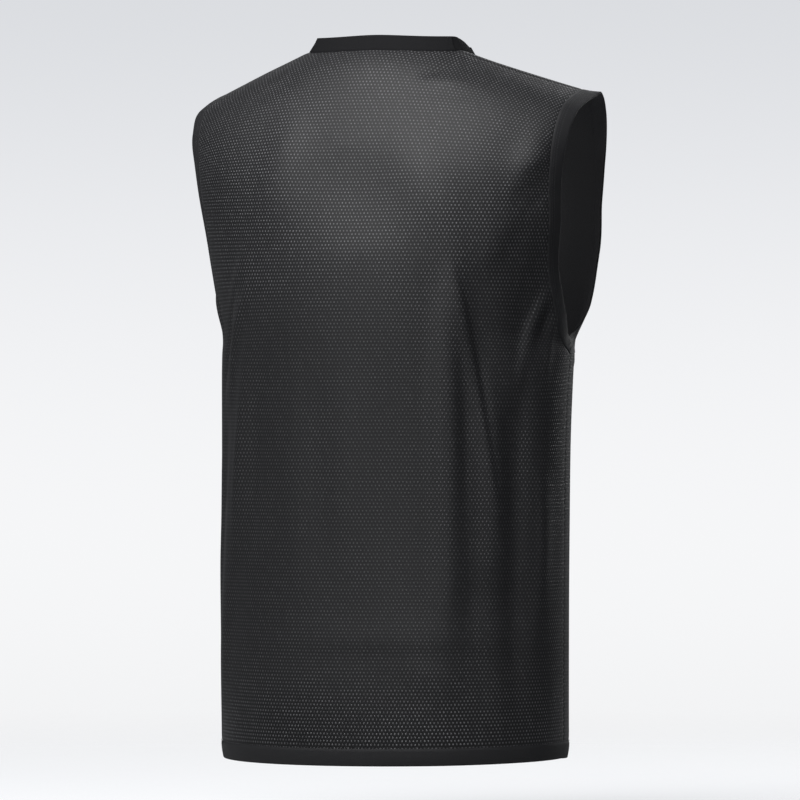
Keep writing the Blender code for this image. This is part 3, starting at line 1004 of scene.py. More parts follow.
@dataclass(frozen=True)
class DottedKnit:
    """The panels' outer side: a dark knit with a raised staggered dot."""

    name: str = "dotted_knit"
    ground: tuple = grey(0.0100, 0.0112)
    # The ground's colour near the hem, darker as painted shade.
    ground_painted_shade: tuple = grey(0.0024, 0.0029)
    # The dots' colour: their raised pattern, lightened partly as a painted highlight of the light
    # they catch.
    dot: tuple = grey(0.150, 0.157)
    pitch_out: float = 0.0037
    pitch_up: float = 0.0071
    dot_width: float = 0.0021
    dot_height: float = 0.0026
    relief: float = 0.00036
    roughness_ground: float = 0.62
    roughness_low: float = 0.36
    roughness_dot: float = 0.40
    patch_scale: float = 9.0
    patch_noise: tuple = (0.3, 0.7)
    patch_from_to: tuple = (0.75, 1.1)
    grain_scale: float = 1100.0
    grain: float = 0.25
    faintest_dot: float = 0.55
    slack: float = 0.37
    dot_core: float = 0.35
    # Heights over which the painted highlight on the upper back's dots comes in.
    highlight_from_to: tuple = (-0.300, -0.170)
    # Heights over which the painted shade and stronger dots near the hem fade out.
    low_from_to: tuple = (-0.690, -0.580)
    sheen: Sheen = field(default_factory=Sheen)

    def build(self) -> Material:
        """Build the material.

        Returns:
            The material.
        """
        n = Nodes(self.name)
        uv = n.uv()
        cell = n.vector("MULTIPLY", uv, (1 / self.pitch_out, 1 / self.pitch_up, 0.0))
        lattices = [cell, n.vector("ADD", cell, (0.5, 0.5, 0.0))]
        dot = n.math("MAXIMUM", *[self._dot(n, lattice) for lattice in lattices])
        patches = n.noise(uv, self.patch_scale)
        patch = n.smooth_step(patches, *self.patch_noise, *self.patch_from_to)
        # high paints a highlight on the dots over the upper back; low paints shade on the ground
        # near the hem and shows its dots more.
        high, low = self._painted_light_by_height(n)
        shown = n.math("ADD", n.math("ADD", high, low), self.slack)
        # Painted shade: the ground is darker towards the hem.
        ground = n.mix(low, self.ground, self.ground_painted_shade)
        share = n.math("MULTIPLY", dot, n.math("MULTIPLY", patch, shown))
        between = n.smooth_step(low, 0.0, 1.0, self.roughness_ground, self.roughness_low)
        rough = n.smooth_step(dot, 0.0, 1.0, between, self.roughness_dot)
        n.shade({"Base Color": n.mix(share, ground, self.dot), "Roughness": rough})
        n.shade(self.sheen.sockets())
        grain = n.math("MULTIPLY", n.noise(uv, self.grain_scale), self.grain)
        n.bump(n.math("ADD", dot, grain), self.relief)
        return n.material

    def _painted_light_by_height(self, n: Nodes) -> tuple[Socket, Socket]:
        """Find the shares by height that paint light and shade on the knit.

        Args:
            n: The material's tree.

        Returns:
            The painted highlight's share over the upper back, and the share near the hem that
            paints shade on the ground.
        """
        z = n.split(n.place())["Z"]
        most = 1.0 - self.slack
        # Painted highlight: the dots show lighter over the upper back, where the light falls.
        high = n.smooth_step(z, *self.highlight_from_to, 0.0, most)
        # Near the hem the ground is painted darker as shade, and the dots show more.
        low = n.smooth_step(z, *self.low_from_to, most, 0.0)
        return high, low

    def _dot(self, n: Nodes, cell: Socket) -> Socket:
        """Return one lattice of dots, 1 at their middles.

        Args:
            n: The material's tree.
            cell: Places in the lattice, whose corners are whole numbers.

        Returns:
            The dots' height.
        """
        place = n.vector("SUBTRACT", n.vector("FRACTION", cell), (0.5, 0.5, 0.0))
        scale = (2 * self.pitch_out / self.dot_width, 2 * self.pitch_up / self.dot_height, 0.0)
        far = n.vector("LENGTH", n.vector("MULTIPLY", place, scale))
        floor = n.vector("FLOOR", cell)
        each = n.add("ShaderNodeTexWhiteNoise", {"Vector": floor}, noise_dimensions="2D")
        fullness = n.smooth_step(each.outputs["Value"], 0.0, 1.0, self.faintest_dot, 1.0)
        return n.math("MULTIPLY", n.smooth_step(far, self.dot_core, 1.0, 1.0, 0.0), fullness)


@dataclass(frozen=True)
class SmoothKnit:
    """A smooth knit: the bands' outer side, or the inner side of any piece."""

    name: str
    colour: tuple
    light: tuple
    wale: float = 0.0011
    wale_share: float = 0.7
    shade_share: float = 0.3
    lightest_at: float = 1.1
    grain_scale: float = 900.0
    relief: float = 0.00008
    roughness: float = 0.80
    sheen: Sheen = field(default_factory=lambda: Sheen(0.0, 0.50, 0.12))

    def build(self) -> Material:
        """Build the material.

        Returns:
            The material.
        """
        n = Nodes(self.name)
        uv = n.uv()
        scale = 2 * math.pi / self.wale
        turn = n.split(n.vector("MULTIPLY", uv, (scale, scale, 0.0)))
        wales = n.math("MULTIPLY", n.math("SINE", turn["X"]), self.wale_share)
        courses = n.math("MULTIPLY", n.math("SINE", turn["Y"]), 1.0 - self.wale_share)
        height = n.math("ADD", wales, courses)
        grain = n.noise(uv, self.grain_scale)
        mottle = n.math("ADD", n.math("MULTIPLY", height, self.shade_share), grain)
        shade = n.smooth_step(mottle, 0.0, self.lightest_at)
        n.shade({"Base Color": n.mix(shade, self.colour, self.light)})
        n.shade({"Roughness": self.roughness, **self.sheen.sockets()})
        n.bump(n.math("ADD", height, grain), self.relief)
        return n.material


@dataclass(frozen=True)
class Thread:
    """Sewing thread, twisted along its own length."""

    name: str
    colour: tuple
    light: tuple
    roughness: float = 0.45
    specular: float = 0.35
    fibre_scale: float = 2500.0
    twist_scale: float = 4000.0
    relief: float = 0.00005

    def build(self) -> Material:
        """Build the material.

        Returns:
            The material.
        """
        n = Nodes(self.name)
        place = n.place()
        colour = n.mix(n.noise(place, self.fibre_scale), self.colour, self.light)
        n.shade({"Base Color": colour, "Roughness": self.roughness})
        n.shade({"Specular IOR Level": self.specular})
        n.bump(n.noise(place, self.twist_scale), self.relief)
        return n.material


COLLAR_RIB = SmoothKnit("collar_rib", grey(0.0080, 0.0090), grey(0.0190, 0.0205))
SMOOTH_RIB = SmoothKnit(
    "smooth_rib",
    grey(0.0110, 0.0122),
    grey(0.0270, 0.0290),
    roughness=0.60,
    sheen=Sheen(0.02, 0.50, 0.36),
)
# The inner side is far lighter than the black cloth: painted light, standing in for the light that
# bounces inside the garment.
INSIDE_PAINTED_LIGHT = SmoothKnit("inside_painted_light", grey(0.045, 0.048), grey(0.095, 0.100))
SEAM_THREAD = Thread("seam_thread", grey(0.012, 0.014), grey(0.045, 0.049))
OVERLOCK_THREAD = Thread("overlock_thread", grey(0.016, 0.018), grey(0.060, 0.064))


@dataclass
class Finishes:
    """Every material of the garment, built once."""

    knit: Material = field(default_factory=DottedKnit().build)
    collar: Material = field(default_factory=COLLAR_RIB.build)
    band: Material = field(default_factory=SMOOTH_RIB.build)
    # The inner side of every piece, lightened as painted light.
    inside_painted_light: Material = field(default_factory=INSIDE_PAINTED_LIGHT.build)
    thread: Material = field(default_factory=SEAM_THREAD.build)
    overlock: Material = field(default_factory=OVERLOCK_THREAD.build)


# ---- Sewing --------------------------------------------------------------------------


@dataclass(frozen=True)
class Stitch:
    """One kind of stitch: its pitch along the seam and its own size."""

    pitch: float = 0.0028
    length: float = 0.0021
    width: float = 0.0006
    height: float = 0.0004
    slant: float = 0.0


class StitchRow:
    """Rows of stitches along seams, made by Geometry Nodes."""

    INPUTS = ("Pitch", "Length", "Width", "Height", "Slant")
    FACING = "facing"

    def __init__(self, stitch: Stitch, thread: Material) -> None:
        """Build the tree that lays one kind of stitch.

        Args:
            stitch: The kind of stitch.
            thread: Its material.
        """
        self.stitch = stitch
        self.thread = thread
        self.tree = self._tree()

    def _tree(self) -> bpy.types.NodeTree:
        """Build the tree that resamples a seam and lays one thread loop a pitch.

        Returns:
            The tree, whose named inputs are the stitch's sizes and its thread.
        """
        t = Tree(bpy.data.node_groups.new("stitch row", "GeometryNodeTree"))
        face = t.tree.interface
        kinds = [("Geometry", "Geometry"), *((name, "Float") for name in self.INPUTS)]
        for name, kind in (*kinds, ("Thread", "Material")):
            face.new_socket(name, in_out="INPUT", socket_type="NodeSocket" + kind)
        face.new_socket("Geometry", in_out="OUTPUT", socket_type="NodeSocketGeometry")
        given = t.add("NodeGroupInput").outputs
        seam = t.add("GeometryNodeMeshToCurve", {"Mesh": given["Geometry"]})
        even = t.add(
            "GeometryNodeResampleCurve", {"Curve": seam, "Length": given["Pitch"]}, mode="LENGTH"
        )
        facing = t.add(
            "GeometryNodeInputNamedAttribute", {"Name": self.FACING}, data_type="FLOAT_VECTOR"
        )
        tangent = t.add("GeometryNodeInputTangent")
        along = t.add("FunctionNodeAlignRotationToVector", {"Vector": tangent}, axis="X")
        upright = t.add(
            "FunctionNodeAlignRotationToVector",
            {"Rotation": along, "Vector": facing.outputs["Attribute"]},
            axis="Z",
            pivot_axis="X",
        )
        index = t.add("GeometryNodeInputIndex")
        odd = t.add("ShaderNodeMath", {0: index, 1: 1.0}, operation="PINGPONG")
        back = t.add("ShaderNodeMath", {0: given["Slant"], 1: -1.0}, operation="MULTIPLY")
        ends = {"Value": odd, "To Min": back, "To Max": given["Slant"]}
        turn = t.add("ShaderNodeCombineXYZ", {"Z": t.add("ShaderNodeMapRange", ends)})
        turned = t.add(
            "FunctionNodeRotateRotation",
            {"Rotation": upright, "Rotate By": turn},
            rotation_space="LOCAL",
        )
        loop = t.add("GeometryNodeMeshUVSphere", {"Segments": 8, "Rings": 5, "Radius": 0.5})
        sizes = {"X": given["Length"], "Y": given["Width"], "Z": given["Height"]}
        size = t.add("ShaderNodeCombineXYZ", sizes)
        lay = t.add(
            "GeometryNodeInstanceOnPoints",
            {"Points": even, "Instance": loop, "Rotation": turned, "Scale": size},
        )
        real = t.add("GeometryNodeRealizeInstances", {0: lay})
        threaded = {"Geometry": real, "Material": given["Thread"]}
        dressed = t.add("GeometryNodeSetMaterial", threaded)
        t.add("NodeGroupOutput", {"Geometry": dressed})
        return t.tree

    def lay(self, name: str, seams: list[tuple[Array, Array]], closed: bool) -> Object:
        """Lay stitches along seams.

        Args:
            name: The piece's name.
            seams: For each seam its points and the directions that its stitches face.
            closed: Whether each seam's end joins its start.

        Returns:
            All the stitches, as one plain mesh.
        """
        points, facing, edges = [], [], []
        for path, normals in seams:
            row = list(range(len(points), len(points) + len(path)))
            points.extend(path.tolist())
            facing.extend(normals.tolist())
            edges.extend(zip(row, row[1:] + row[:1] if closed else row[1:]))
        mesh = bpy.data.meshes.new(name)
        mesh.from_pydata(points, edges, [])
        layer = mesh.attributes.new(self.FACING, "FLOAT_VECTOR", "POINT")
        layer.data.foreach_set("vector", np.array(facing, dtype=np.float32).ravel())
        guide = link(name, mesh)
        modifier = guide.modifiers.new("stitches", "NODES")
        modifier.node_group = self.tree
        values = {key: getattr(self.stitch, key.lower()) for key in self.INPUTS}
        values["Thread"] = self.thread
        for item in self.tree.interface.items_tree:
            if item.in_out == "INPUT" and item.name in values:
                modifier[item.identifier] = values[item.name]
        bpy.context.view_layer.update()
        seen = guide.evaluated_get(bpy.context.evaluated_depsgraph_get())
        made = bpy.data.meshes.new_from_object(seen)
        guide.modifiers.clear()
        guide.data = made
        made.shade_smooth()
        bpy.data.meshes.remove(mesh)
        return guide


# ---- Pieces --------------------------------------------------------------------------


@dataclass(frozen=True)
class Cut:
    """What a maker cuts for one piece: its flat width, length and area."""

    width: float
    length: float
    area: float


def dress(piece: Object, node: str, cut: Cut) -> Object:
    """Attach a finished piece of cloth to the root, hide its CAD part and log its size.

    Args:
        piece: The piece.
        node: The CAD node that it stands for.
        cut: Its flat size.

    Returns:
        The piece.
    """
    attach(piece, "root")
    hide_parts(node)
    LOG.info("%s: %d faces, %s", piece.name, len(piece.data.polygons), cut)
    return piece


def dress_sewing(piece: Object) -> Object:
    """Attach a finished piece of sewing to the root, and log it.

    Args:
        piece: The piece.

    Returns:
        The piece.
    """
    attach(piece, "root")
    LOG.info("%s: %d faces", piece.name, len(piece.data.polygons))
    return piece


@dataclass
class Panel:
    """The back or the front, a thin wall from its hem band to the shoulder seams.

    A seam gap below 0 laps it over its neighbours, so that no light falls through.
    """

    form: ClothForm
    name: str
    node: str
    hem: Seam
    underarm: Seam
    cut: Cut
    hem_width: float = 0.0160
    thickness: float = 0.0011
    seam_gap: float = -0.0006
    edge_roll: float = 0.0005
    shoulder_columns: int = 30
    neck_columns: int = 60
    side_rows: int = 90
    armhole_rows: int = 80

    def half(self) -> Array:
        """Lay out half of the panel.

        Returns:
            Positions from the centre line to the side, hem band to shoulder.
        """
        form = self.form
        low, high = self.hem.value, self.underarm.value
        first = low + math.copysign(self.hem_width, high - low)
        shoulder = Seam.SHOULDER.value
        fine = np.linspace(0.0, 1.0, TRACE_STEPS)
        side = positions(1.0, first + (high - first) * fine)
        armhole = positions(1.0, high + (shoulder - high) * fine)
        neck = form.neck_edge(high)
        ridge = positions(1.0 + (neck[0, 0] - 1.0) * fine, shoulder)
        right = np.concatenate(
            [form.spaced(side, self.side_rows), form.spaced(armhole, self.armhole_rows)[1:]]
        )
        top = np.concatenate(
            [form.spaced(ridge, self.shoulder_columns), form.spaced(neck, self.neck_columns)[1:]]
        )[::-1]
        below = np.linspace(first, high, self.side_rows + 1)
        above = np.linspace(high, top[0, 1], self.armhole_rows + 1)[1:]
        left = positions(0.0, np.concatenate([below, above]))
        bottom = positions(np.linspace(0.0, 1.0, len(top)), first)
        u = np.linspace(0.0, 1.0, len(top))[None, :, None]
        v = np.linspace(0.0, 1.0, len(right))[:, None, None]
        sides = left[:, None] * (1 - u) + right[:, None] * u
        ends = bottom[None] * (1 - v) + top[None] * v
        low_edge = left[0] * (1 - u) + right[0] * u
        high_edge = left[-1] * (1 - u) + right[-1] * u
        return sides + ends - (low_edge * (1 - v) + high_edge * v)

    def drawn_in(self, points: Array, normals: Array) -> Array:
        """Move the grid's edges in by half a seam gap, and roll them into the seam.

        Args:
            points: The outer points, rows by columns.
            normals: The normals there.

        Returns:
            The points with their edges moved.
        """
        moved = points.copy()
        for edge, beside in (
            ((0, slice(None)), (1, slice(None))),
            ((-1, slice(None)), (-2, slice(None))),
            ((slice(None), 0), (slice(None), 1)),
            ((slice(None), -1), (slice(None), -2)),
        ):
            along = unit(np.gradient(points[edge], axis=0))
            to_beside = points[beside] - points[edge]
            to_beside -= along * np.sum(to_beside * along, axis=-1, keepdims=True)
            moved[edge] += 0.5 * self.seam_gap * unit(to_beside) - self.edge_roll * normals[edge]
        return moved

    def build(self, finishes: Finishes) -> Object:
        """Args:
            finishes: The garment's materials.

        Returns:
            The piece.
        """
        half = self.half()
        grid = np.concatenate([half[:, :0:-1] * [-1.0, 1.0], half], axis=1)
        points, normals = self.form.cloth(grid[..., 0], grid[..., 1])
        outer = self.drawn_in(points, normals)
        inner = outer - self.thickness * normals
        uv = self.form.flat(grid[..., 0], grid[..., 1])
        piece = wall(self.name, outer, inner, uv, [finishes.knit, finishes.inside_painted_light])
        return dress(piece, self.node, self.cut)


@dataclass
class Hem:
    """The band below a panel, turned in a little at its rounded lower edge."""

    form: ClothForm
    name: str
    node: str
    hem: Seam
    cut: Cut
    rests_on: str
    width: float = 0.0160
    thickness: float = 0.0020
    proud: float = 0.0004
    swell_run: float = 0.0010
    turn_in: float = 0.0020
    seam_gap: float = -0.0006
    seam_above: float = 0.0010
    seam_reach: float = 0.999
    seam_steps: int = 400
    columns: int = 260
    steps: int = 10
    round_steps: int = 6

    def build(self, finishes: Finishes) -> Object:
        """Args:
            finishes: The garment's materials.

        Returns:
            The piece.
        """
        across = np.linspace(-1.0, 1.0, self.columns + 1)
        sections, flats = [], []
        top = self.width - 0.5 * self.seam_gap
        low = 0.5 * self.thickness
        heights = np.linspace(top, low, self.steps + 1)
        levels = [(height, 0.0) for height in heights]
        for angle in np.linspace(0.0, math.pi, self.round_steps + 1)[1:-1]:
            levels.append((low * (1.0 - math.sin(angle)), 0.5 * (1.0 - math.cos(angle))))
        levels += [(height, 1.0) for height in heights[::-1]]
        for height, depth in levels:
            sections.append(self._level(across, height, depth))
            flats.append(positions(across, height))
        uv = np.stack(flats, axis=1)
        uv[..., 0] = self.form.flat(across, self.hem.value)[:, None, 0]
        sections = np.stack(sections, axis=1)
        inner_from = self.steps + self.round_steps
        sides = [finishes.band, finishes.inside_painted_light]
        piece = tube(self.name, sections, uv, inner_from, False, sides)
        return dress(piece, self.node, self.cut)

    def _cloth(self, across: Array, height: float) -> tuple[Array, Array]:
        """Return the cloth's points and normals at a height above the hem's edge."""
        upwards = math.copysign(1.0, Seam.SHOULDER.value - self.hem.value)
        return self.form.cloth(across, self.hem.value + upwards * height)

    def _level(self, across: Array, height: float, depth: float) -> Array:
        """Find the band's points at one height.

        Args:
            across: Positions across.
            height: Height above the hem's edge.
            depth: Share of the thickness that the points lie in from the outer side.

        Returns:
            The points.
        """
        points, normals = self._cloth(across, height)
        share = 1.0 - height / self.width
        swell = self.proud * min(1.0, (self.width - height) / self.swell_run)
        lift = swell - self.turn_in * share**2 - depth * self.thickness
        return points + lift * normals

    def seam(self) -> tuple[Array, Array]:
        """Trace the row of stitches above the band.

        Returns:
            Its points and the directions that they face.
        """
        across = np.linspace(-self.seam_reach, self.seam_reach, self.seam_steps)
        points, normals = self._cloth(across, self.width + self.seam_above)
        return points + self.proud * normals, normals


@dataclass
class Band:
    """A rounded band sewn to a closed seam."""

    name: str
    node: str
    cut: Cut
    rests_on: list[str]
    width: float
    turn_in: float
    thickness: float = 0.0022
    proud: float = 0.0004
    swell_run: float = 0.0012
    end_depth: float = 0.65
    seam_gap: float = -0.0006
    steps: int = 12
    round_steps: int = 6

    def sections(self, points: Array, facing: Array, heading: Array) -> tuple[Array, Array]:
        """Shape the band.

        Args:
            points: The seam's points.
            facing: Outward directions there.
            heading: Directions in which the band leaves the seam.

        Returns:
            Its closed sections, and the flat cloth's metres at them.
        """
        radius = 0.5 * self.thickness
        shares = np.linspace(0.0, 1.0, self.steps + 1)
        reach = 0.5 * self.seam_gap + self.width * shares
        swell = self.proud * np.minimum(1.0, reach / self.swell_run) - self.turn_in * shares**2
        outer = [points + heading * r + facing * s for r, s in zip(reach, swell)]
        middle = outer[-1] - radius * facing
        angles = np.linspace(0.0, math.pi, self.round_steps + 1)[1:-1]
        rounded = [
            middle + radius * (facing * math.cos(a) + heading * self.end_depth * math.sin(a))
            for a in angles
        ]
        inner = [p - self.thickness * facing for p in outer]
        shape = np.stack(outer + rounded + inner[::-1], axis=1)
        edge = [reach[-1] + radius * a for a in angles]
        back = (edge[-1] + reach[-1] - reach[::-1]).tolist()
        up = np.array(reach.tolist() + edge + back)
        uv = positions(lengths(points)[:, None], up)
        return shape, uv

    def build(
        self,
        points: Array,
        facing: Array,
        heading: Array,
        outside: Material,
        finishes: Finishes,
    ) -> Object:
        """Args:
            points: The seam's points.
            facing: Outward directions there.
            heading: Directions in which the band leaves the seam.
            outside: The material of its outer side.
            finishes: The garment's materials.

        Returns:
            The piece.
        """
        shape, uv = self.sections(points, facing, heading)
        inner_from = self.steps + self.round_steps
        sides = [outside, finishes.inside_painted_light]
        piece = tube(self.name, shape, uv, inner_from, True, sides)
        return dress(piece, self.node, self.cut)


def loop_tangent(points: Array) -> Array:
    """Return unit tangents along a closed loop of points."""
    return unit(np.roll(points, -1, axis=0) - np.roll(points, 1, axis=0))


@dataclass
class ArmholeBand:
    """The smooth band round one armhole, with its twin rows of stitches."""

    form: ClothForm
    side: Side
    width: float = 0.0150
    turn_in: float = 0.0015
    cut: Cut = Cut(0.66, 0.015, 0.0099)
    rows_at: tuple[float, ...] = (0.0035, 0.0062)
    trace_steps: int = 2400
    count: int = 420

    def build(self, finishes: Finishes, stitches: StitchRow) -> Object:
        """Build the band and its stitches.

        Args:
            finishes: The garment's materials.
            stitches: What lays the stitches.

        Returns:
            The band.
        """
        sign = self.side.value
        word = self.side.name.lower()
        low, high = Seam.BACK_UNDERARM.value, Seam.FRONT_UNDERARM.value
        path = positions(sign, np.linspace(low, high, self.trace_steps))
        loop = self.form.spaced(path, self.count)[:-1]
        points, normals = self.form.cloth(loop[:, 0], loop[:, 1])
        heading = unit(np.cross(normals, loop_tangent(points))) * sign
        band = Band(
            name=f"{word}_armhole_band",
            node=f"armhole_band_{word}",
            cut=self.cut,
            rests_on=["back_panel", "front_panel"],
            width=self.width,
            turn_in=self.turn_in,
        )
        piece = band.build(points, normals, heading, finishes.band, finishes)
        rows = []
        for at in self.rows_at:
            lift = band.proud - self.turn_in * (at / self.width) ** 2
            rows.append((points + heading * at + normals * lift, normals))
        sewing = stitches.lay(f"{word}_armhole_stitches", rows, True)
        dress_sewing(sewing)
        return piece


@dataclass
class Collar:
    """The band round the neck, standing up from the neckline."""

    form: ClothForm
    width: float = 0.0160
    lift_back: float = 1.00
    lift_front: float = 0.25
    lift_side: float = 0.50
    cut: Cut = Cut(0.59, 0.016, 0.0094)
    count: int = 220

    def seam(self) -> tuple[Array, Array]:
        """Trace the whole neckline.

        Returns:
            Its points and the cloth's normals there.
        """
        back = self.form.spaced(self.form.neck_edge(Seam.BACK_UNDERARM.value), self.count)
        front = self.form.spaced(self.form.neck_edge(Seam.FRONT_UNDERARM.value), self.count)
        mirror = [-1.0, 1.0]
        right = [back[:0:-1] * mirror, back[0:1] * mirror, front[1:] * mirror]
        loop = np.concatenate([*right, front[-2:0:-1], back[:-1]])
        return self.form.cloth(loop[:, 0], loop[:, 1])

    def build(self, finishes: Finishes) -> Object:
        """Args:
            finishes: The garment's materials.

        Returns:
            The piece.
        """
        points, normals = self.seam()
        tangent = loop_tangent(points)
        to_neck = np.cross(tangent, normals)
        middle = points.mean(axis=0)
        to_neck = unit(to_neck) * np.sign(np.sum(to_neck * (middle - points)))
        share = np.clip(1.0 + self.form.neck.depth(points), 0.0, 1.0)[:, None]
        lift = self.lift_front + (self.lift_back - self.lift_front) * share
        sideways = np.abs(points[:, :1]) / self.form.neck.half_width
        lift += self.lift_side * sideways**3 * share**2
        heading = unit(to_neck + lift * np.array([0.0, 0.0, 1.0]))
        facing = unit(np.cross(heading, tangent))
        facing *= np.sign(np.sum(facing * normals, axis=1, keepdims=True))
        band = Band(
            name="collar",
            node="neck_band",
            cut=self.cut,
            rests_on=["back_panel", "front_panel"],
            width=self.width,
            turn_in=0.0,
        )
        return band.build(points, facing, heading, finishes.collar, finishes)


@dataclass
class Overlock:
    """The thread sewn over the raw edges inside the side and shoulder seams."""

    form: ClothForm
    depth: float = 0.0016
    stitch: Stitch = Stitch(0.0021, 0.0008, 0.0052, 0.0007, 0.35)
    at_side: float = 0.9995
    side_steps: int = 300
    shoulder_steps: int = 120
    from_hem: float = 0.019
    from_underarm: float = 0.004
    from_neck: float = 0.03
    to_armhole: float = 0.985

    def seams(self) -> list[tuple[Array, Array]]:
        """Trace the seams on the cloth's inner side.

        Returns:
            For each seam its points and the directions that its stitches face.
        """
        low = Seam.BACK_HEM.value + self.from_hem
        high = Seam.BACK_UNDERARM.value - self.from_underarm
        neck = self.form.neck_edge(Seam.BACK_UNDERARM.value)[0, 0] + self.from_neck
        rows = []
        for side in Side:
            up = positions(self.at_side * side.value, np.linspace(low, high, self.side_steps))
            out = np.linspace(neck, self.to_armhole, self.shoulder_steps)
            over = positions(side.value * out, Seam.SHOULDER.value)
            for path in (up, over):
                points, normals = self.form.cloth(path[:, 0], path[:, 1])
                rows.append((points - self.depth * normals, -normals))
        return rows

    def build(self, finishes: Finishes) -> Object:
        """Sew the seams' raw edges over, and return the stitches."""
        rows = StitchRow(self.stitch, finishes.overlock)
        return dress_sewing(rows.lay("overlock_stitches", self.seams(), False))


# ---- Studio --------------------------------------------------------------------------


def towards(azimuth: float, elevation: float) -> Vector:
    """Return the direction of an azimuth and an elevation, which are in degrees."""
    a, e = math.radians(azimuth), math.radians(elevation)
    return Vector((math.sin(a) * math.cos(e), -math.cos(a) * math.cos(e), math.sin(e)))


@dataclass(frozen=True)
class Softbox:
    """One large soft lamp, aimed at the garment's middle."""

    name: str
    azimuth: float
    elevation: float
    distance: float
    size: float
    power: float
    aim_z: float = -0.30

    def build(self) -> None:
        """Hang the lamp."""
        lamp = bpy.data.lights.new(self.name, "AREA")
        lamp.shape = "DISK"
        lamp.size = self.size
        lamp.energy = self.power
        holder = link(self.name, lamp)
        out = towards(self.azimuth, self.elevation)
        holder.location = Vector((0.0, 0.0, self.aim_z)) + out * self.distance
        holder.rotation_euler = out.to_track_quat("Z", "Y").to_euler()


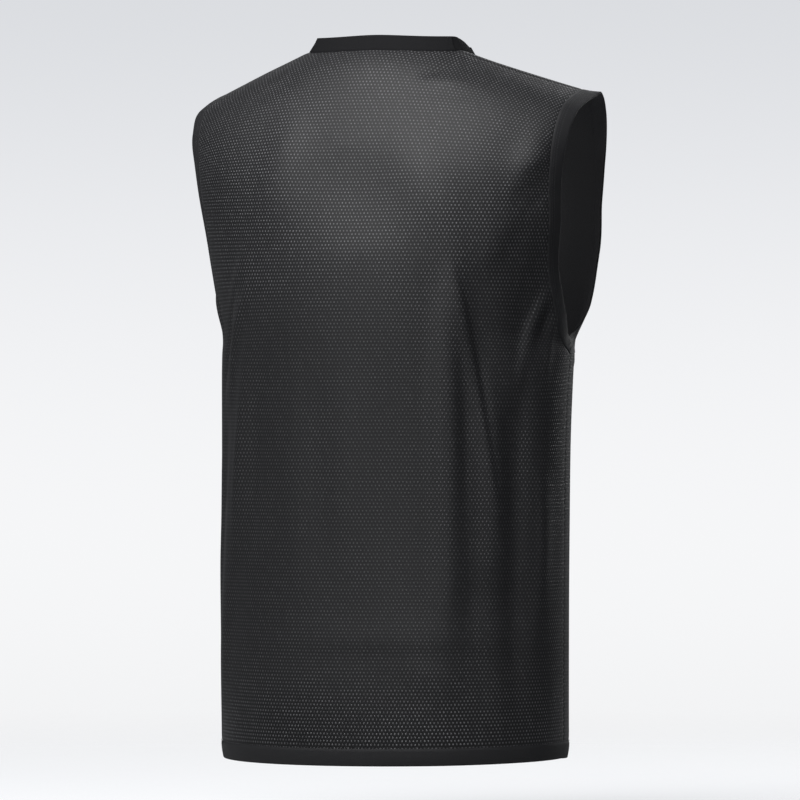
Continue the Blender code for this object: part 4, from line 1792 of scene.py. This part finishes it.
@dataclass(frozen=True)
class Studio:
    """The pale floor and sky, the soft lamps and the camera."""

    floor_z: float = -0.765
    floor_radius: float = 6.0
    floor_sides: int = 96
    floor_fade: tuple[float, float] = (0.1, 0.6)
    floor_roughness: float = 0.9
    floor_colour: tuple = (0.30, 0.305, 0.31, 1.0)
    floor_glow: tuple = (0.92, 0.93, 0.95, 1.0)
    floor_glow_power: float = 0.765
    ambient: tuple = (0.86, 0.90, 1.0, 1.0)
    ambient_power: float = 0.09
    sky_half_height: float = 0.04
    camera_azimuth: float = 201.0
    camera_distance: float = 10.0
    lens: float = 450.0
    sensor: float = 36.0
    farthest_seen: float = 60.0
    aim_right: float = 0.002
    aim_z: float = -0.347
    bounce_power: float = 0.20
    bounce_size: float = 0.06
    bounce_at: tuple[float, float, float] = (-0.02, 0.02, -0.16)
    sky: tuple[tuple[float, tuple[float, float, float]], ...] = (
        (0.0, (0.865, 0.870, 0.880)),
        (0.25, (0.930, 0.935, 0.945)),
        (0.50, (0.905, 0.910, 0.925)),
        (0.75, (0.815, 0.825, 0.850)),
        (1.0, (0.690, 0.705, 0.735)),
    )
    softboxes: tuple[Softbox, ...] = (
        Softbox("key_softbox", 173.0, 44.0, 2.7, 1.7, 94.0, -0.06),
        Softbox("fill_softbox", 226.0, 6.0, 4.0, 1.6, 2.0),
        Softbox("front_softbox", 15.0, 35.0, 3.2, 1.8, 13.0),
        Softbox("rim_softbox", 342.0, 10.0, 2.8, 0.6, 9.0),
    )

    def build(self) -> None:
        """Build the whole studio."""
        self._floor()
        self._sky()
        for softbox in self.softboxes:
            softbox.build()
        self._bounce()
        self._camera()

    def _bounce(self) -> None:
        """Hang a faint small lamp inside, for the light that the cloth lets through."""
        lamp = bpy.data.lights.new("bounce", "POINT")
        lamp.energy = self.bounce_power
        lamp.shadow_soft_size = self.bounce_size
        link("bounce", lamp).location = self.bounce_at

    def _floor(self) -> None:
        """Lay the floor, which fades into the sky at its rim."""
        turns = np.linspace(0.0, 2 * math.pi, self.floor_sides, endpoint=False).tolist()
        r = self.floor_radius
        rim = [(r * math.cos(t), r * math.sin(t), self.floor_z) for t in turns]
        mesh = bpy.data.meshes.new("floor")
        mesh.from_pydata(rim, [], [list(range(len(rim)))])
        n = Nodes("pale_floor")
        far = n.vector("LENGTH", n.vector("MULTIPLY", n.place(), (1.0, 1.0, 0.0)))
        seen = n.add("ShaderNodeLightPath").outputs["Is Camera Ray"]
        fade_from, fade_to = (r * share for share in self.floor_fade)
        n.shade(
            {
                "Base Color": self.floor_colour,
                "Roughness": self.floor_roughness,
                "Emission Color": self.floor_glow,
                "Emission Strength": n.math("MULTIPLY", seen, self.floor_glow_power),
                "Alpha": n.smooth_step(far, fade_from, fade_to, 1.0, 0.0),
            }
        )
        mesh.materials.append(n.material)
        link("floor", mesh)

    def _sky(self) -> None:
        """Fill the studio with even light, paler low down than high up."""
        world = bpy.data.worlds.new("studio")
        bpy.context.scene.world = world
        world.use_nodes = True
        t = Tree(world.node_tree)
        up = t.add("ShaderNodeTexCoord").outputs["Generated"]
        z = t.add("ShaderNodeSeparateXYZ", {0: up}).outputs["Z"]
        limits = {"Value": z, "From Min": -self.sky_half_height, "From Max": self.sky_half_height}
        ramp = t.add("ShaderNodeValToRGB", {0: t.add("ShaderNodeMapRange", limits)})
        ramp.color_ramp.interpolation = "B_SPLINE"
        while len(ramp.color_ramp.elements) < len(self.sky):
            ramp.color_ramp.elements.new(0.5)
        for stop, (height, colour) in zip(ramp.color_ramp.elements, self.sky):
            stop.position = height
            stop.color = (*colour, 1.0)
        shown = world.node_tree.nodes["Background"]
        t.fill(shown, {"Color": ramp, "Strength": 1.0})
        dim = {"Color": self.ambient, "Strength": self.ambient_power}
        cast = t.add("ShaderNodeBackground", dim)
        seen = t.add("ShaderNodeLightPath").outputs["Is Camera Ray"]
        both = t.add("ShaderNodeMixShader", {0: seen, 1: cast, 2: shown})
        t.fill(world.node_tree.nodes["World Output"], {"Surface": both})
        bpy.context.scene.view_settings.view_transform = "Standard"

    def _camera(self) -> None:
        """Set up the camera, level and far off behind the wearer's right."""
        data = bpy.data.cameras.new("camera")
        data.type = "PERSP"
        data.lens = self.lens
        data.sensor_width = self.sensor
        data.clip_end = self.farthest_seen
        camera = link("camera", data)
        back = towards(self.camera_azimuth, 0.0)
        right = towards(self.camera_azimuth + 90.0, 0.0)
        aim = right * self.aim_right + Vector((0.0, 0.0, self.aim_z))
        camera.location = aim + back * self.camera_distance
        camera.rotation_euler = back.to_track_quat("Z", "Y").to_euler()
        bpy.context.scene.camera = camera


# ---- The garment ---------------------------------------------------------------------


def main() -> None:
    """Build the garment piece by piece, and the studio round it."""
    logging.basicConfig(level=logging.INFO, format="%(message)s")
    form = ClothForm(SECTIONS, FOLDS, CREASES)
    finishes = Finishes()
    Studio().build()
    back, front = Seam.BACK_HEM, Seam.FRONT_HEM
    for panel in (
        Panel(form, "back", "back_panel", back, Seam.BACK_UNDERARM, Cut(0.52, 0.72, 0.33)),
        Panel(form, "front", "front_panel", front, Seam.FRONT_UNDERARM, Cut(0.48, 0.765, 0.30)),
    ):
        panel.build(finishes)
    rows = StitchRow(Stitch(), finishes.thread)
    hems = (
        Hem(form, "back_hem", "hem_back", back, Cut(0.50, 0.016, 0.0080), "back"),
        Hem(form, "front_hem", "hem_front", front, Cut(0.48, 0.016, 0.0076), "front"),
    )
    for hem in hems:
        hem.build(finishes)
    dress_sewing(rows.lay("hem_stitches", [hem.seam() for hem in hems], False))
    for side in Side:
        ArmholeBand(form, side).build(finishes, rows)
    Collar(form).build(finishes)
    Overlock(form).build(finishes)


if __name__ == "__main__":
    main()
